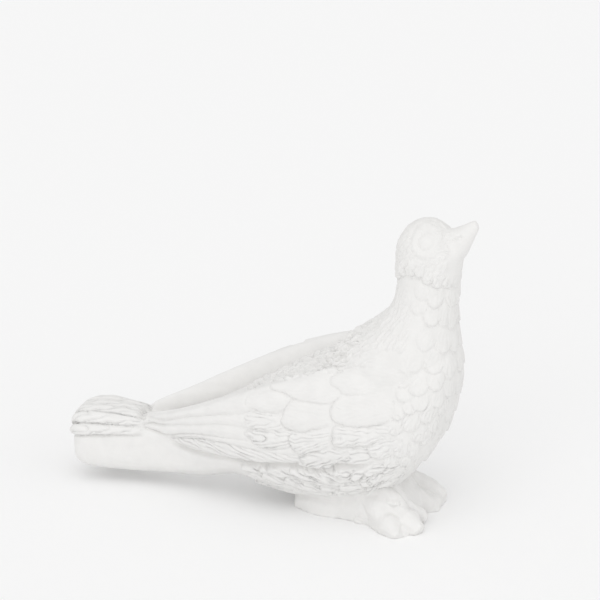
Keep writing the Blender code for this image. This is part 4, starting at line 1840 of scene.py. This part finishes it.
@dataclass
class Studio:
    """Floor, soft lights and the camera."""

    azimuth: float = 19.0
    elevation: float = 20.0
    distance: float = 1.8
    sensor: float = 36.0
    lens: float = 216.0
    target: Row = (-0.0374, 0.0, 0.1077)
    floor_size: float = 12.0
    sky_strength: float = 0.77
    lights: tuple[SoftLight, ...] = (
        SoftLight("overhead", 0.42, 45.0, 10.0, 68.0),
        SoftLight("front", 0.5, 50.0, -5.0, 14.0),
        SoftLight("side", 0.25, 60.0, 75.0, 15.0),
    )

    def floor(self) -> None:
        """Lay the floor."""
        sheet = bmesh.new()
        bmesh.ops.create_grid(sheet, x_segments=8, y_segments=8, size=self.floor_size)
        mesh = bpy.data.meshes.new("floor")
        sheet.to_mesh(mesh)
        sheet.free()
        floor = bpy.data.objects.new("floor", mesh)
        mesh.materials.append(PaleFloor().material())
        bpy.context.scene.collection.objects.link(floor)
        floor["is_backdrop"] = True

    def sky(self) -> None:
        """Fill the studio with even white light."""
        world = bpy.data.worlds.new("studio")
        world.use_nodes = True
        node = world.node_tree.nodes["Background"]
        node.inputs["Color"].default_value = (1.0, 1.0, 1.0, 1.0)
        node.inputs["Strength"].default_value = self.sky_strength
        bpy.context.scene.world = world

    def camera(self) -> None:
        """Set the camera at the photograph's viewing angle."""
        camera = bpy.data.objects.new("camera", bpy.data.cameras.new("camera"))
        camera.data.sensor_width = self.sensor
        camera.data.lens = self.lens
        back = towards(self.azimuth, self.elevation)
        camera.location = Vector(self.target) + back * self.distance
        camera.rotation_euler = back.to_track_quat("Z", "Y").to_euler()
        bpy.context.scene.collection.objects.link(camera)
        bpy.context.scene.camera = camera

    def build(self) -> None:
        """Set up the whole studio."""
        self.floor()
        self.sky()
        for light in self.lights:
            light.place()
        self.camera()
        bpy.context.scene.view_settings.view_transform = "Standard"
        LOG.info("studio set up with %d lights", len(self.lights))


@dataclass
class Dove:
    """The whole figure: fused, carved, thinned, levelled and finished."""

    low: Vector
    high: Vector

    def build(self) -> bpy.types.Object:
        """Make the figure.

        Returns:
            The finished object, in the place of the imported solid.
        """
        casting = Casting()
        dove = casting.fuse()
        LOG.info("skin fused with %d points", len(dove.data.vertices))
        relief = Relief(dove.data)
        relief.roughen()
        TailPlumage().carve(relief)
        BellyPlumage().carve(relief)
        MantlePlumage().carve(relief)
        ScalePlumage().carve(relief)
        for side in Side:
            WingPlumage(side).carve(relief)
            HeadFeatures().carve(relief, side)
            FootCreases().carve(relief, side)
        relief.carve(dove)
        casting.thin_out(dove)
        casting.level(dove, self.low, self.high)
        dove.data.materials.clear()
        dove.data.materials.append(CastStone().material())
        dove.data.shade_smooth()
        LOG.info("dove finished with %d triangles", len(dove.data.polygons))
        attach(dove, "root")
        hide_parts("dove")
        return dove


def main() -> None:
    """Build the dove and the studio round it."""
    logging.basicConfig(level=logging.INFO, format="%(message)s")
    low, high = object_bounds()
    Dove(low, high).build()
    Studio().build()


if __name__ == "__main__":
    main()
